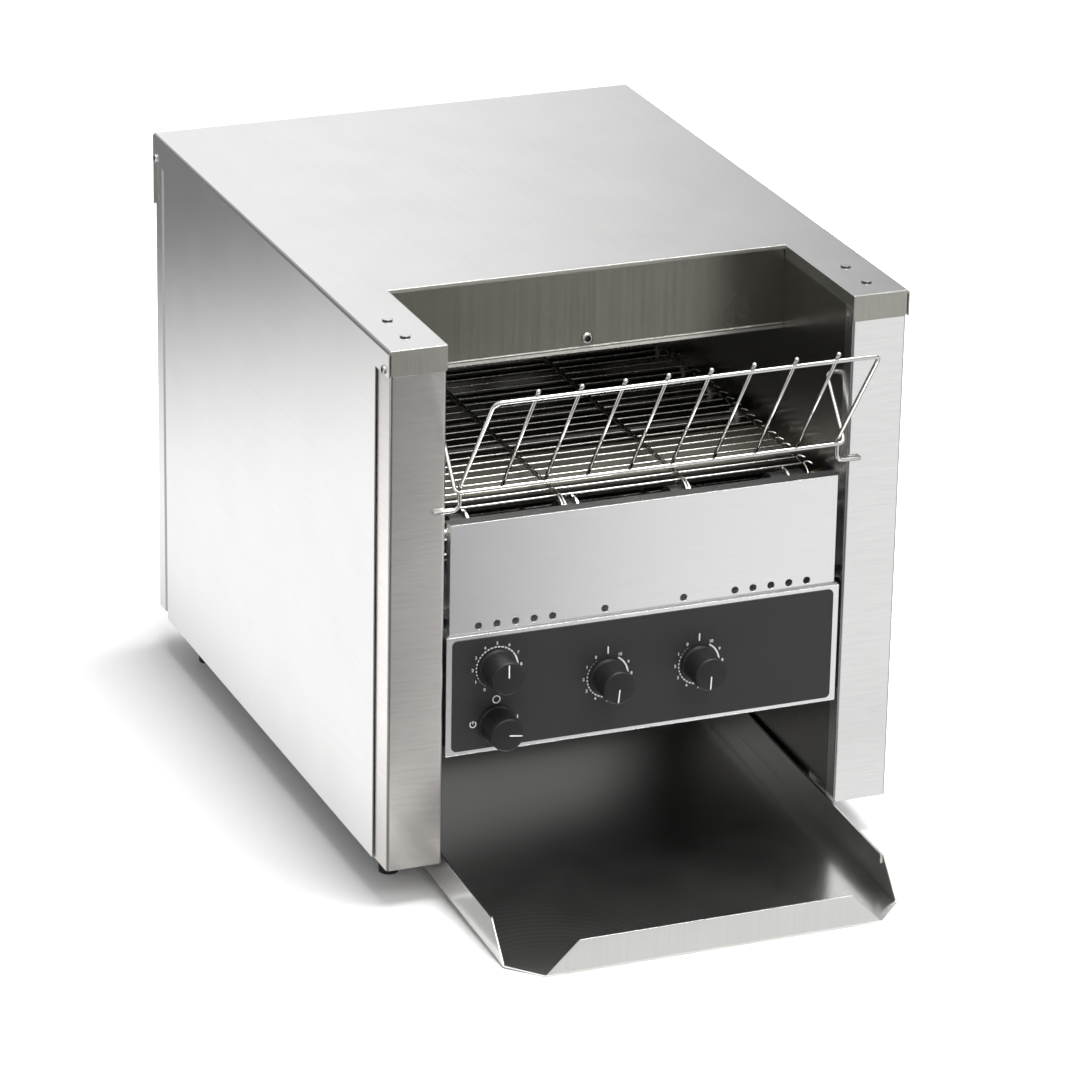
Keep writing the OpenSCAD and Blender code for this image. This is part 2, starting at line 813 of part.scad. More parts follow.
module bearing(y) {
    inner = liner_x - bush_flange_t;
    difference() {
        union() {
            rod_x([inner, y, axle_z], bush_flange_r, bush_flange_t);
            rod_x([inner, y, axle_z], bush_r, bush_out - inner);
        }
        rod_x([inner - 1, y, axle_z], shaft_r + run_fit, bush_out - inner + 2);
    }
}

module shaft_bearings() {
    color("goldenrod") place() both_sides() for (y = [nose_y, tail_y]) bearing(y);
}

// ---------- chain drive ----------

function turn_point(at, r, angle) = at + r * [cos(angle), sin(angle)];

shaft_at = [nose_y, axle_z];
motor_at = [motor_y, motor_z];

// point (y, z) at distance s along the chain
function chain_point(s) =
    s < chain_run
        ? let (f = s / chain_run, a = chain_dir + chain_wrap)
          turn_point(shaft_at, shaft_pitch_r, a) * (1 - f) + turn_point(motor_at, motor_pitch_r, a) * f
    : s < chain_run + motor_arc
        ? turn_point(motor_at, motor_pitch_r,
                     chain_dir + chain_wrap - (s - chain_run) / motor_pitch_r * 180 / PI)
    : s < 2 * chain_run + motor_arc
        ? let (f = (s - chain_run - motor_arc) / chain_run, a = chain_dir - chain_wrap)
          turn_point(motor_at, motor_pitch_r, a) * (1 - f) + turn_point(shaft_at, shaft_pitch_r, a) * f
    : turn_point(shaft_at, shaft_pitch_r,
                 chain_dir - chain_wrap - (s - 2 * chain_run - motor_arc) / shaft_pitch_r * 180 / PI);

// outline of the chain, grown outwards, as points round the motor sprocket and then the shaft sprocket
function chain_outline(grow) = concat(
    [for (i = [0:20])
        turn_point(motor_at, motor_pitch_r + grow, chain_dir + chain_wrap * (1 - i / 10))],
    [for (i = [0:28])
        turn_point(shaft_at, shaft_pitch_r + grow, chain_dir - chain_wrap - (180 - chain_wrap) * i / 14)]
);

module drive_chain() {
    roller_half = link_in + 0.5;
    color("dimgray") place() union() {
        for (x = [-link_out, link_in]) side_plate(chain_x + x, link_out - link_in) difference() {
            polygon(chain_outline(link_half));
            polygon(chain_outline(-link_half));
        }
        for (i = [0:chain_links - 1]) {
            at = chain_point(i * chain_loop / chain_links);
            rod_x([chain_x - roller_half, at[0], at[1]], roller_r, 2 * roller_half, $fn = 16);
        }
    }
}

module chain_sprocket(at, pitch_r, teeth, bore) {
    tip = pitch_r - roller_r - move_gap;
    difference() {
        union() {
            side_plate(chain_x - sprocket_t / 2, sprocket_t) difference() {
                translate(at) circle(tip);
                for (i = [0:teeth - 1]) translate(turn_point(at, tip + 0.8, i * 360 / teeth)) circle(1.5);
            }
            rod_x([chain_x - sprocket_t / 2 - 8, at[0], at[1]], tip - 3.5, 8);
        }
        rod_x([chain_x - 20, at[0], at[1]], bore + press_fit, 40);
    }
}

module shaft_sprocket() {
    color("gray") place() chain_sprocket(shaft_at, shaft_pitch_r, shaft_teeth, shaft_r);
}

module motor_sprocket() {
    color("gray") place() chain_sprocket(motor_at, motor_pitch_r, motor_teeth, output_r);
}

module motor_shaft() {
    color("silver") place() rod_x([liner_x - 25, motor_y, motor_z], output_r, chain_x + 8 - liner_x + 25);
}

module gear_motor() {
    box_x = liner_half - 34;
    color("dimgray") place() difference() {
        union() {
            slab([box_x, motor_y - gear_size / 2, motor_z - gear_size / 2],
                 [liner_half, motor_y + gear_size / 2, motor_z + gear_size / 2]);
            rod_x([box_x - motor_can_len, motor_y, motor_z], motor_can_r, motor_can_len);
            rod_x([box_x - motor_can_len - 5, motor_y, motor_z], 9, 5);
        }
        rod_x([liner_x - 26, motor_y, motor_z], output_r + run_fit, 40);
    }
}

// ---------- fan ----------

module fan_frame() {
    color("black") place() translate([0, fan_y, pan_top]) difference() {
        union() {
            difference() {
                slab([-fan_w / 2, -fan_w / 2, 0], [fan_w / 2, fan_w / 2, fan_t]);
                translate([0, 0, -1]) cylinder(r = fan_bore, h = fan_t + 2);
            }
            translate([0, 0, fan_t - fan_motor_t]) cylinder(r = fan_hub_r, h = fan_motor_t);
            for (a = [0, 90]) rotate(a)
                slab([-fan_bore - 1, -2, fan_t - 3], [fan_bore + 1, 2, fan_t]);
        }
        translate([0, 0, fan_t - fan_motor_t - 1]) cylinder(r = 1.5 + run_fit, h = fan_motor_t);
    }
}

module fan_rotor() {
    top = fan_t - fan_motor_t - 0.5;
    color("dimgray") place() translate([0, fan_y, pan_top]) {
        translate([0, 0, 2]) cylinder(r = fan_hub_r, h = top - 2);
        translate([0, 0, top - 1]) cylinder(r = 1.5, h = 4);
        for (a = [0:6]) rotate(a * 360 / 7) translate([fan_hub_r - 1, 0, top / 2 + 1]) rotate([35, 0, 0])
            slab([0, -10, -0.8], [fan_bore - fan_hub_r - 1.5, 10, 0.8]);
    }
}

// ---------- control panel ----------

module spindle_holes(y, len, r) {
    for (at = dials) rod_y([at[0], y, at[1]], r, len);
}

module control_frame() {
    half = panel_half;
    deep = panel_y + frame_fold;
    color("whitesmoke") place() difference() {
        union() {
            slab([-half, panel_y, panel_z], [half, dial_y, panel_top]);
            slab([-half, panel_y, panel_z], [half, deep, panel_z + sheet]);
            slab([-half, panel_y, panel_top - sheet], [half, deep, panel_top]);
            both_sides() slab([half - sheet, panel_y, panel_z], [half, deep, panel_top]);
        }
        spindle_holes(panel_y - 1, 4, bushing_r + hole_gap);
    }
}

module control_overlay() {
    w = panel_half - overlay_rim - 0.8;
    low = panel_z + overlay_rim - 1;
    high = panel_top - overlay_rim + 0.9;
    color("dimgray") place() difference() {
        front_plate(overlay_y, overlay_t) union() {
            translate([-w + overlay_r, low]) square([2 * (w - overlay_r), high - low]);
            translate([-w, low + overlay_r]) square([2 * w, high - low - 2 * overlay_r]);
            for (x = [-w + overlay_r, w - overlay_r], z = [low + overlay_r, high - overlay_r])
                translate([x, z]) circle(overlay_r);
        }
        spindle_holes(overlay_y - 1, 4, bushing_r + hole_gap);
    }
}

module control_box() {
    wide = liner_half;
    narrow = panel_half - sheet - seat;
    frame_back = panel_y + frame_fold + seat;
    color("silver") place() {
        for (z = [box_floor, panel_top]) {
            slab([-narrow, dial_y + seat, z], [narrow, frame_back, z + sheet]);
            slab([-wide, frame_back, z], [wide, box_d, z + sheet]);
        }
        slab([-wide, box_d - sheet, box_floor], [wide, box_d, panel_top + sheet]);
    }
}

// switch or regulator behind the frame: case, threaded bushing and a row of tabs
module control_unit(at, w, h, depth, tabs) {
    difference() {
        union() {
            slab([at[0] - w / 2, dial_y, at[1] - h / 2], [at[0] + w / 2, dial_y + depth, at[1] + h / 2]);
            rod_y([at[0], overlay_y + 0.2, at[1]], bushing_r, 6);
            for (i = [0:tabs - 1], z = [-h / 4, h / 4])
                slab([at[0] - w / 2 + (i + 0.5) * w / tabs - 3, dial_y + depth - 0.5, at[1] + z - 0.4],
                     [at[0] - w / 2 + (i + 0.5) * w / tabs + 3, dial_y + depth + 8, at[1] + z + 0.4]);
        }
        rod_y([at[0], overlay_y - 1, at[1]], spindle_r + run_fit, spindle_in + 1 - overlay_y + move_gap);
    }
}

module speed_control() {
    color("seagreen") place() control_unit(speed_at, 40, 36, 18, 4);
}

module mode_switch() {
    color("dimgray") place() control_unit(mode_at, 42, 38, 36, 3);
}

module top_heat_regulator() {
    color("ivory") place() control_unit(top_heat_at, 44, 52, 34, 3);
}

module bottom_heat_regulator() {
    color("ivory") place() control_unit(bottom_heat_at, 44, 52, 34, 3);
}

module spindle(at) {
    color("silver") place() rod_y([at[0], spindle_out, at[1]], spindle_r, spindle_in - spindle_out);
}

module speed_spindle() { spindle(speed_at); }
module mode_spindle() { spindle(mode_at); }
module top_heat_spindle() { spindle(top_heat_at); }
module bottom_heat_spindle() { spindle(bottom_heat_at); }

// knob with a skirt, a tapered grip and a pointer groove
module knob(at, pointer) {
    grip = knob_base - knob_face;
    color("black") place() translate([at[0], knob_base, at[1]]) rotate([90, 0, 0]) difference() {
        union() {
            cylinder(r1 = skirt_r, r2 = skirt_r - 0.8, h = skirt_t);
            cylinder(r1 = knob_r + 0.9, r2 = knob_r, h = grip - 1.4);
            translate([0, 0, grip - 1.4]) cylinder(r1 = knob_r, r2 = knob_top_r, h = 1.4);
        }
        translate([0, 0, -1]) cylinder(r = spindle_r + press_fit, h = knob_base - spindle_out + 1.5);
        rotate(pointer) slab([0.8, -mark_w / 2, grip - 0.3], [knob_top_r - 0.2, mark_w / 2, grip + 1]);
    }
}

module speed_knob() { knob(speed_at, speed_pointer); }
module mode_knob() { knob(mode_at, mode_pointer); }
module top_heat_knob() { knob(top_heat_at, top_heat_pointer); }
module bottom_heat_knob() { knob(bottom_heat_at, bottom_heat_pointer); }

// ---------- supply ----------

module terminal_block() {
    low = [gland_x - 12, back_y - 82, pan_top];
    color("ivory") place() difference() {
        slab(low, low + [24, 50, 22]);
        for (i = [0:4]) translate(low + [12, 5 + i * 10, 12]) cylinder(r = 3, h = 12);
    }
}

module cord_gland() {
    color("black") place() difference() {
        union() {
            rod_y([gland_x, panel_back - 9, gland_z], gland_r, 9 + 2 * sheet + 2);
            rod_y([gland_x, panel_back - 6, gland_z], gland_r + 4, 6, $fn = 6);
            rod_y([gland_x, back_y, gland_z], gland_r + 3.5, 6);
            translate([gland_x, back_y + 6, gland_z]) rotate([-90, 0, 0])
                cylinder(r1 = gland_r + 2.5, r2 = gland_bore + 2, h = gland_out + sheet - 6);
        }
        rod_y([gland_x, panel_back - 12, gland_z], gland_bore, 40);
    }
}

// ---------- toast path ----------

// one face of the slide in (y, z): down the back, round the bend and down to its end
function slide_face(r) =
    let (end = 90 - slide_slope)
    concat(
        [[slide_bend[0] + r, slide_top]],
        [for (i = [0:24]) slide_bend + r * [cos(i * end / 24), -sin(i * end / 24)]],
        [slide_end + (slide_r - r) * [-sin(slide_slope), cos(slide_slope)]]
    );

module toast_slide() {
    inner = slide_face(slide_r - sheet);
    color("silver") place() difference() {
        side_plate(-liner_half, 2 * liner_half)
            polygon(concat(slide_face(slide_r), [for (i = [len(inner) - 1:-1:0]) inner[i]]));
        both_sides() slab([slide_front_half, 0, 0], [half_w, tray_cut + 6, slide_bend[1]]);
    }
}

// the tray's own frame starts at the underside of its lip and rises with its slope
module tray_frame() {
    translate([0, -tray_out, tray_z]) rotate([tray_slope, 0, 0]) children();
}

module toast_tray() {
    color("gainsboro") place() tray_frame() union() {
        linear_extrude(sheet) polygon([
            [-lip_half, 0], [lip_half, 0], [tray_half, tray_corner],
            [tray_half, tray_len], [-tray_half, tray_len], [-tray_half, tray_corner]
        ]);
        front_plate(0, sheet) polygon([
            [-lip_half, 0], [lip_half, 0],
            [lip_half - tray_side, tray_side], [tray_side - lip_half, tray_side]
        ]);
        both_sides() {
            side_plate(tray_half - sheet, sheet) polygon([
                [tray_corner, 0], [tray_len, 0], [tray_len, tray_side], [tray_corner + tray_side, tray_side]
            ]);
            slab([tray_half - 2 * sheet, tray_corner + tray_side + 3, tray_side - tray_hem],
                 [tray_half - sheet, tray_len, tray_side]);
        }
    }
}

// height of the runners' ledges under the tray, at y
function ledge_z(y) = tray_z + (y + tray_out) * tan(tray_slope) - move_gap / cos(tray_slope);

module tray_runners() {
    from = runner_y[0];
    to = runner_y[1];
    color("silver") place() both_sides() {
        slab([runner_x, from, pan_z - sheet], [foot_x - foot_neck_r - 1.5, to, pan_z]);
        side_plate(runner_x, sheet) polygon([
            [from, pan_z], [from, ledge_z(from) - sheet], [to, ledge_z(to) - sheet], [to, pan_z]
        ]);
        side_plate(runner_in, runner_x + sheet - runner_in) polygon([
            [from, ledge_z(from)], [from, ledge_z(from) - sheet], [to, ledge_z(to) - sheet], [to, ledge_z(to)]
        ]);
    }
}

// ---------- feed rack ----------

function unit(v) = v / norm(v);
function heading(points, i) = unit(points[i + 1] - points[i]);
function turn(points, i) = acos(heading(points, i - 1) * heading(points, i));

// length that the bend at point i takes from the straights beside it
function cut_back(points, i, bend_r) =
    (i == 0 || i == len(points) - 1) ? 0 : bend_r * tan(turn(points, i) / 2);

// half a wire's points and their mirror image
function mirrored(points) =
    concat(points, [for (i = [len(points) - 1:-1:0]) [-points[i][0], points[i][1], points[i][2]]]);

// children with their axes turned to the given directions
module on_axes(at, x, y, z) {
    translate(at)
        multmatrix([[x[0], y[0], z[0], 0], [x[1], y[1], z[1], 0], [x[2], y[2], z[2], 0], [0, 0, 0, 1]])
            children();
}

// wire through the points, bent to bend_r between the ends, with a ball where a straight meets a bend
module bent_wire(points, r, bend_r) {
    join = 0.5;         // degrees left free between a bend and its straights, which the ball fills
    join_ball = 0.1;
    for (i = [0:len(points) - 2]) {
        along = heading(points, i);
        side = unit(cross(along, abs(along[2]) > 0.9 ? [1, 0, 0] : [0, 0, 1]));
        from = cut_back(points, i, bend_r);
        to = norm(points[i + 1] - points[i]) - cut_back(points, i + 1, bend_r);
        on_axes(points[i] + along * from, side, cross(along, side), along) cylinder(r = r, h = to - from);
    }
    for (i = [1:len(points) - 2]) {
        along = heading(points, i - 1);
        normal = unit(cross(along, heading(points, i)));
        inward = cross(normal, along);
        on_axes(points[i] - along * cut_back(points, i, bend_r) + inward * bend_r, -inward, along, normal) {
            rotate(join) rotate_extrude(angle = turn(points, i) - 2 * join) translate([bend_r, 0]) circle(r);
            for (a = [0, turn(points, i)]) rotate(a) translate([bend_r, 0, 0]) sphere(r + join_ball);
        }
    }
}

module feed_rack() {
    rung_len = norm([rack_lean, rail_top_z - rail_low_z]) + 7;
    color("gainsboro") place() {
        bent_wire(mirrored([
            [rail_end - 1, rack_y, foot_wire_z],
            [side_x, rack_y, foot_wire_z],
            [side_x, rack_y, rail_low_z + 2.5],
            [side_x, top_y, rail_top_z]
        ]), rack_r, rack_bend);
        bent_wire(mirrored([
            [liner_x + 3.5, pivot_y, pivot_z],
            [arm_x, pivot_y, pivot_z],
            [arm_x, rail_y, rail_low_z]
        ]), rack_r, rack_bend - 2);
        for (i = [-3.5:3.5])
            translate([i * rung_pitch, rail_y, rail_low_z]) rotate([90 - rack_slant, 0, 0])
                translate([0, rung_back, -2]) {
                    cylinder(r = rung_r, h = rung_len);
                    translate([0, 0, rung_len]) sphere(rung_r + 0.6);
                }
    }
}

// ---------- fasteners ----------

module side_screw(y, z) {
    rod_x([half_w, y, z], head_r, head_t);
    rod_x([half_w - 8, y, z], screw_r, 9);
}

module cover_screws() {
    color("lightgray") place() both_sides() {
        side_screw(ear_screw_y, ear_screw_z);
        side_screw(rear_screw_y, rear_screw_z);
    }
}

module arm_buttons() {
    color("lightgray") place() for (x = [-button_x, button_x], y = button_ys) translate([x, y, body_h]) {
        cylinder(r1 = head_r + 0.5, r2 = head_r - 1, h = head_t);
        translate([0, 0, -8]) cylinder(r = screw_r, h = 9);
    }
}

outer_cover();
left_pillar();
right_pillar();
base_pan();
rear_panel();
left_inner_wall();
right_inner_wall();
hood_panel();
front_deflector();
control_frame();
control_overlay();
control_box();
heat_shield();
belt_baffle();
lower_reflector();
upper_reflector();
upper_elements();
lower_elements();
element_insulators();
shaft_bearings();
conveyor_belt();
drive_shaft();
drive_discs();
drive_hubs();
shaft_sprocket();
idler_shaft();
idler_discs();
idler_hubs();
drive_chain();
gear_motor();
motor_shaft();
motor_sprocket();
fan_frame();
fan_rotor();
speed_control();
mode_switch();
top_heat_regulator();
bottom_heat_regulator();
speed_spindle();
mode_spindle();
top_heat_spindle();
bottom_heat_spindle();
speed_knob();
mode_knob();
top_heat_knob();
bottom_heat_knob();
terminal_block();
cord_gland();
toast_slide();
toast_tray();
tray_runners();
feed_rack();
feet();
cover_screws();
arm_buttons();
hood_screw();
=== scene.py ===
import math

import bmesh
import bpy
from mathutils import Matrix, Vector


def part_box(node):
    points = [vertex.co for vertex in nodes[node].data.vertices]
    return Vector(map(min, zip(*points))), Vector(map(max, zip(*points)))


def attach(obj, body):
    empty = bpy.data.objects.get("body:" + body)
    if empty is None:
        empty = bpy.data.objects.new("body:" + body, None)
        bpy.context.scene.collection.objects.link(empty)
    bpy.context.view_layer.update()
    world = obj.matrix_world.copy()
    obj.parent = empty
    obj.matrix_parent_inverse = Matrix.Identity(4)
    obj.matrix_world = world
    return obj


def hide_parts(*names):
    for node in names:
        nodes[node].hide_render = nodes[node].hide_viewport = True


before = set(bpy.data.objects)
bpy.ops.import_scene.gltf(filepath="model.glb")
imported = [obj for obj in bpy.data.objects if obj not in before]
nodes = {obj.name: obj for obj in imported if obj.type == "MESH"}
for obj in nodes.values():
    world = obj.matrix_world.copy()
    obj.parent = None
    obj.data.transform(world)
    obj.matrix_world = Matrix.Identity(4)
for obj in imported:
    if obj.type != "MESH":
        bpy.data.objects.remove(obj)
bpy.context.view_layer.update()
print("frame loaded,", len(nodes), "nodes")

mm = 0.001
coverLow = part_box("outer_cover")[0]
frontY = coverLow.y  # the case's front face
baseZ = coverLow.z  # the case's lower edge


def spot(x, y, z):
    # millimetres from the case's lower front edge, in its middle, to metres in the frame
    return Vector((x * mm, frontY + y * mm, baseZ + z * mm))


# camera

mainView = {
    "place": (-1.6835, -4.1042, 2.0082),
    "swing": -22.263,
    "down": 21.972,
    "roll": 1.068,
    "lens": 179.75,
    "sensor": 36.0,
    "clip": (0.1, 60.0),
}


def placeCamera(look):
    data = bpy.data.cameras.new("mainCamera")
    data.lens = look["lens"]
    data.sensor_width = look["sensor"]
    data.clip_start, data.clip_end = look["clip"]
    camera = bpy.data.objects.new("mainCamera", data)
    bpy.context.scene.collection.objects.link(camera)
    turn = (
        Matrix.Rotation(math.radians(look["swing"]), 4, "Z")
        @ Matrix.Rotation(math.radians(90 - look["down"]), 4, "X")
        @ Matrix.Rotation(math.radians(look["roll"]), 4, "Z")
    )
    camera.matrix_world = Matrix.Translation(look["place"]) @ turn
    bpy.context.scene.camera = camera


placeCamera(mainView)


# node helpers


def blankMaterial(name):
    material = bpy.data.materials.new(name)
    material.use_nodes = True
    tree = material.node_tree
    shader = tree.nodes["Principled BSDF"]
    return material, tree, shader


def addNode(tree, kind, links=(), **settings):
    # links: pairs of this node's input and the output that feeds it
    node = tree.nodes.new(kind)
    for key, value in settings.items():
        if key in node.inputs:
            node.inputs[key].default_value = value
        else:
            setattr(node, key, value)
    for key, source in links:
        tree.links.new(source, node.inputs[key])
    return node


def stretchedNoise(tree, grain, detail=3.0, rough=0.55):
    # grain: waves per metre along x, y and z
    stretch = addNode(tree, "ShaderNodeMapping", [("Vector", objectPlace(tree))])
    stretch.inputs["Scale"].default_value = grain
    noise = addNode(tree, "ShaderNodeTexNoise", [("Vector", stretch.outputs["Vector"])])
    noise.inputs["Scale"].default_value = 1.0
    noise.inputs["Detail"].default_value = detail
    noise.inputs["Roughness"].default_value = rough
    return noise.outputs["Fac"]


def blendColours(tree, factor, low, high, fromMin=0.3, fromMax=0.7):
    ramp = addNode(tree, "ShaderNodeValToRGB", [("Fac", factor)])
    ramp.color_ramp.elements[0].position = fromMin
    ramp.color_ramp.elements[0].color = (*low, 1)
    ramp.color_ramp.elements[1].position = fromMax
    ramp.color_ramp.elements[1].color = (*high, 1)
    return ramp.outputs["Color"]


def spread(tree, factor, low, high, fromMin=0.3, fromMax=0.7, ease="LINEAR"):
    span = addNode(tree, "ShaderNodeMapRange", [("Value", factor)], interpolation_type=ease)
    span.inputs["From Min"].default_value = fromMin
    span.inputs["From Max"].default_value = fromMax
    span.inputs["To Min"].default_value = low
    span.inputs["To Max"].default_value = high
    return span.outputs["Result"]


def vectorMath(tree, kind, links):
    return addNode(tree, "ShaderNodeVectorMath", links, operation=kind)


def scaleColour(tree, colour, factor):
    return vectorMath(tree, "SCALE", [("Vector", colour), ("Scale", factor)]).outputs["Vector"]


def combine(tree, kind, first, second):
    both = tree.nodes.new("ShaderNodeMath")
    both.operation = kind
    for place, value in enumerate((first, second)):
        if isinstance(value, (int, float)):
            both.inputs[place].default_value = value
        else:
            tree.links.new(value, both.inputs[place])
    return both.outputs["Value"]


def objectPlace(tree):
    return addNode(tree, "ShaderNodeTexCoord").outputs["Object"]


def placeAxes(tree):
    return addNode(tree, "ShaderNodeSeparateXYZ", [("Vector", objectPlace(tree))]).outputs


def faceAxes(tree):
    shape = addNode(tree, "ShaderNodeNewGeometry")
    return addNode(tree, "ShaderNodeSeparateXYZ", [("Vector", shape.outputs["True Normal"])]).outputs


def darkened(tint, share):
    return tuple(c * (1 - share) for c in tint)


def roughAround(tree, shader, factor, rough, under, over):
    result = spread(tree, factor, rough - under, rough + over)
    tree.links.new(result, shader.inputs["Roughness"])


def bumpOver(tree, height, strength, distance, edgeRadius=0.0, samples=4):
    bump = addNode(tree, "ShaderNodeBump", [("Height", height)])
    bump.inputs["Strength"].default_value = strength
    bump.inputs["Distance"].default_value = distance
    if edgeRadius:
        edge = addNode(tree, "ShaderNodeBevel", samples=samples)
        edge.inputs["Radius"].default_value = edgeRadius
        tree.links.new(edge.outputs["Normal"], bump.inputs["Normal"])
    return bump.outputs["Normal"]


# steel sheet: fine strokes along the grain and soft clouds, and on some sheets painted shade on forward
# faces and along bends and folds, painted light and shade up a pillar, a painted highlight on the hood's
# hem and painted reflections of rings on the tray

steelLooks = {
    "coverSteel": {"tint": (0.84, 0.84, 0.835), "strokes": 0.025, "clouds": 0.035, "rough": 0.22,
                   "grain": (420, 14, 420), "edge": 1.1, "forwardShade": 0.50, "bend": 0.45},
    "pillarSteel": {"tint": (0.83, 0.83, 0.825), "strokes": 0.055, "clouds": 0.03, "rough": 0.24,
                    "grain": (45, 45, 640), "edge": 0.4, "bend": 0.5},
    "warmPillarSteel": {"tint": (0.83, 0.80, 0.77), "strokes": 0.07, "clouds": 0.03, "rough": 0.24,
                        "grain": (45, 45, 640), "edge": 0.4, "bend": 0.5, "pillarLightAndShade": True},
    # the hood's dark tint is painted shade
    "shadedHoodSteel": {"tint": (0.205, 0.200, 0.170), "strokes": 0.16, "clouds": 0.05, "rough": 0.26,
                  "grain": (360, 40, 9), "edge": 0.2, "hem": True},
    "wallSteel": {"tint": (0.42, 0.41, 0.39), "strokes": 0.05, "clouds": 0.12, "rough": 0.24,
                  "grain": (200, 30, 30), "edge": 0.4},
    "linerSteel": {"tint": (0.30, 0.28, 0.24), "strokes": 0.06, "clouds": 0.14, "rough": 0.34,
                   "grain": (60, 60, 60), "edge": 0.4},
    "panelSteel": {"tint": (0.86, 0.86, 0.86), "strokes": 0.03, "clouds": 0.015, "rough": 0.26,
                   "grain": (30, 30, 900), "edge": 0.6},
    "traySteel": {"tint": (0.78, 0.775, 0.755), "strokes": 0.03, "clouds": 0.03, "rough": 0.20,
                  "grain": (500, 16, 16), "edge": 0.7, "ringReflection": True},
    "slideSteel": {"tint": (0.66, 0.66, 0.65), "strokes": 0.04, "clouds": 0.05, "rough": 0.26,
                   "grain": (400, 16, 16), "edge": 0.4},
    # its tint is darkened as painted shade for the tray's bay
    "galvanisedSheet": {"tint": (0.37, 0.38, 0.39), "strokes": 0.04, "clouds": 0.16, "rough": 0.38,
                        "grain": (70, 70, 70), "edge": 0.4},
}
sheetGrain = {
    "clouds": (14, 14, 14),  # per metre
    "detail": 2.0,
    "duller": 0.015,
    "shinier": 0.01,
    "bump": 0.035,
    "depth": 0.0001,
}


forwardShadeLook = {
    # painted shade: the parts of a sheet that face straight forwards, drawn darker and warmer
    "facing": (-0.98, -0.9),
    "grain": (700, 700, 26),
    "strokes": 0.06,
    "rough": 0.22,
    "warmth": (0.0, 0.03, 0.11),
}


def facesForwards(tree, look):
    return spread(tree, faceAxes(tree)["Y"], 1, 0, *look["facing"])


def apronTone(tree, forwardShade, forwards, look):
    # one on most faces, and a darker, stroked tone of painted shade on those that face forwards
    strokes = stretchedNoise(tree, look["grain"])
    dark = spread(tree, strokes, 1 - forwardShade * (1 - look["strokes"]), 1 - forwardShade * (1 + look["strokes"]))
    drop = combine(tree, "SUBTRACT", 1, dark)
    return combine(tree, "SUBTRACT", 1, combine(tree, "MULTIPLY", drop, forwards))


def warmer(tree, colour, factor, look):
    # takes a little green and blue out where the factor is 1
    less = vectorMath(tree, "SCALE", [("Scale", factor)])
    less.inputs[0].default_value = look["warmth"]
    kept = vectorMath(tree, "SUBTRACT", [(1, less.outputs["Vector"])])
    kept.inputs[0].default_value = (1, 1, 1)
    return vectorMath(tree, "MULTIPLY", [(0, colour), (1, kept.outputs["Vector"])]).outputs["Vector"]


bendTurn = (0.10, 0.30)  # how far a face has to turn to count as part of a bend


def bendTone(tree, dark):
    # painted shade: a darker line along the bends at the sides of a sheet
    axes = faceAxes(tree)
    aside = combine(tree, "ABSOLUTE", axes["X"], 0)
    squares = [combine(tree, "POWER", axes[axis], 2) for axis in ("Y", "Z")]
    upright = combine(tree, "SQRT", combine(tree, "ADD", *squares), 0)
    return spread(tree, combine(tree, "MULTIPLY", aside, upright), 1, dark, *bendTurn)


pillarLightAndShadeLook = {
    # heights between which the tone changes, in millimetres, and its tones
    "upper": (270.0, 460.0),
    "upperTones": (1.14, 0.74),
    "lower": (40.0, 135.0),
    "lowerTones": (0.74, 1.0),
}


def blushTone(tree, look):
    # painted light and shade: the sheet is darker at its top and at its foot, and a little lighter between
    height = placeAxes(tree)["Z"]
    upper = spread(tree, height, *look["upperTones"], *(spot(0, 0, z).z for z in look["upper"]))
    lower = spread(tree, height, *look["lowerTones"], *(spot(0, 0, z).z for z in look["lower"]))
    return combine(tree, "MULTIPLY", upper, lower)


hemHighlightLook = {
    "tint": (0.60, 0.59, 0.55),
    "top": 397.8,
    "crease": (0.9, 1.9),  # how far the crease lies under the top
    "soft": 0.25,
    "dark": 0.30,
}


def hemColour(tree, colour, look):
    # painted highlight: the folded lower edge is drawn lighter, with painted shade along its crease
    height, top, soft = placeAxes(tree)["Z"], spot(0, 0, look["top"]).z, look["soft"] * mm
    onHem = spread(tree, height, 1, 0, top - soft, top + soft)
    start, end = (top - depth * mm for depth in look["crease"])
    crease = combine(tree, "MULTIPLY", spread(tree, height, 0, 1, end - soft, end + soft),
                     spread(tree, height, 1, 0, start - soft, start + soft))
    bright = addNode(tree, "ShaderNodeRGB")
    bright.outputs[0].default_value = (*look["tint"], 1)
    plain = scaleColour(tree, colour, combine(tree, "SUBTRACT", 1, onHem))
    shiny = scaleColour(tree, bright.outputs[0], onHem)
    both = vectorMath(tree, "ADD", [(0, plain), (1, shiny)]).outputs["Vector"]
    return scaleColour(tree, both, spread(tree, crease, 1, look["dark"], 0, 1))


ringReflectionLook = {
    "centre": (-150.0, -190.0, 0.0),
    "pitch": 6.5,
    "inner": (60.0, 95.0),  # where the rings come in
    "outer": (130.0, 185.0),  # and where they end
    "wobble": 3.0,
    "wobbleGrain": (30, 30, 30),
    "depth": 0.09,
    "upwards": (0.9, 0.98),  # only faces that look up have them
}


def swirlTone(tree, look):
    # painted reflection: faint rings on the faces that look up
    away = vectorMath(tree, "DISTANCE", [(0, objectPlace(tree))])
    away.inputs[1].default_value = spot(*look["centre"])
    wobble = spread(tree, stretchedNoise(tree, look["wobbleGrain"]), 0, look["wobble"] * mm, 0, 1)
    radius = combine(tree, "ADD", away.outputs["Value"], wobble)
    wave = combine(tree, "SINE", combine(tree, "MULTIPLY", radius, 2 * math.pi / (look["pitch"] * mm)), 0)
    inside = spread(tree, radius, 0, 1, *(r * mm for r in look["inner"]), "SMOOTHSTEP")
    outside = spread(tree, radius, 1, 0, *(r * mm for r in look["outer"]), "SMOOTHSTEP")
    level = spread(tree, faceAxes(tree)["Z"], 0, look["depth"], *look["upwards"])
    level = combine(tree, "MULTIPLY", combine(tree, "MULTIPLY", inside, outside), level)
    return combine(tree, "ADD", 1, combine(tree, "MULTIPLY", wave, level))


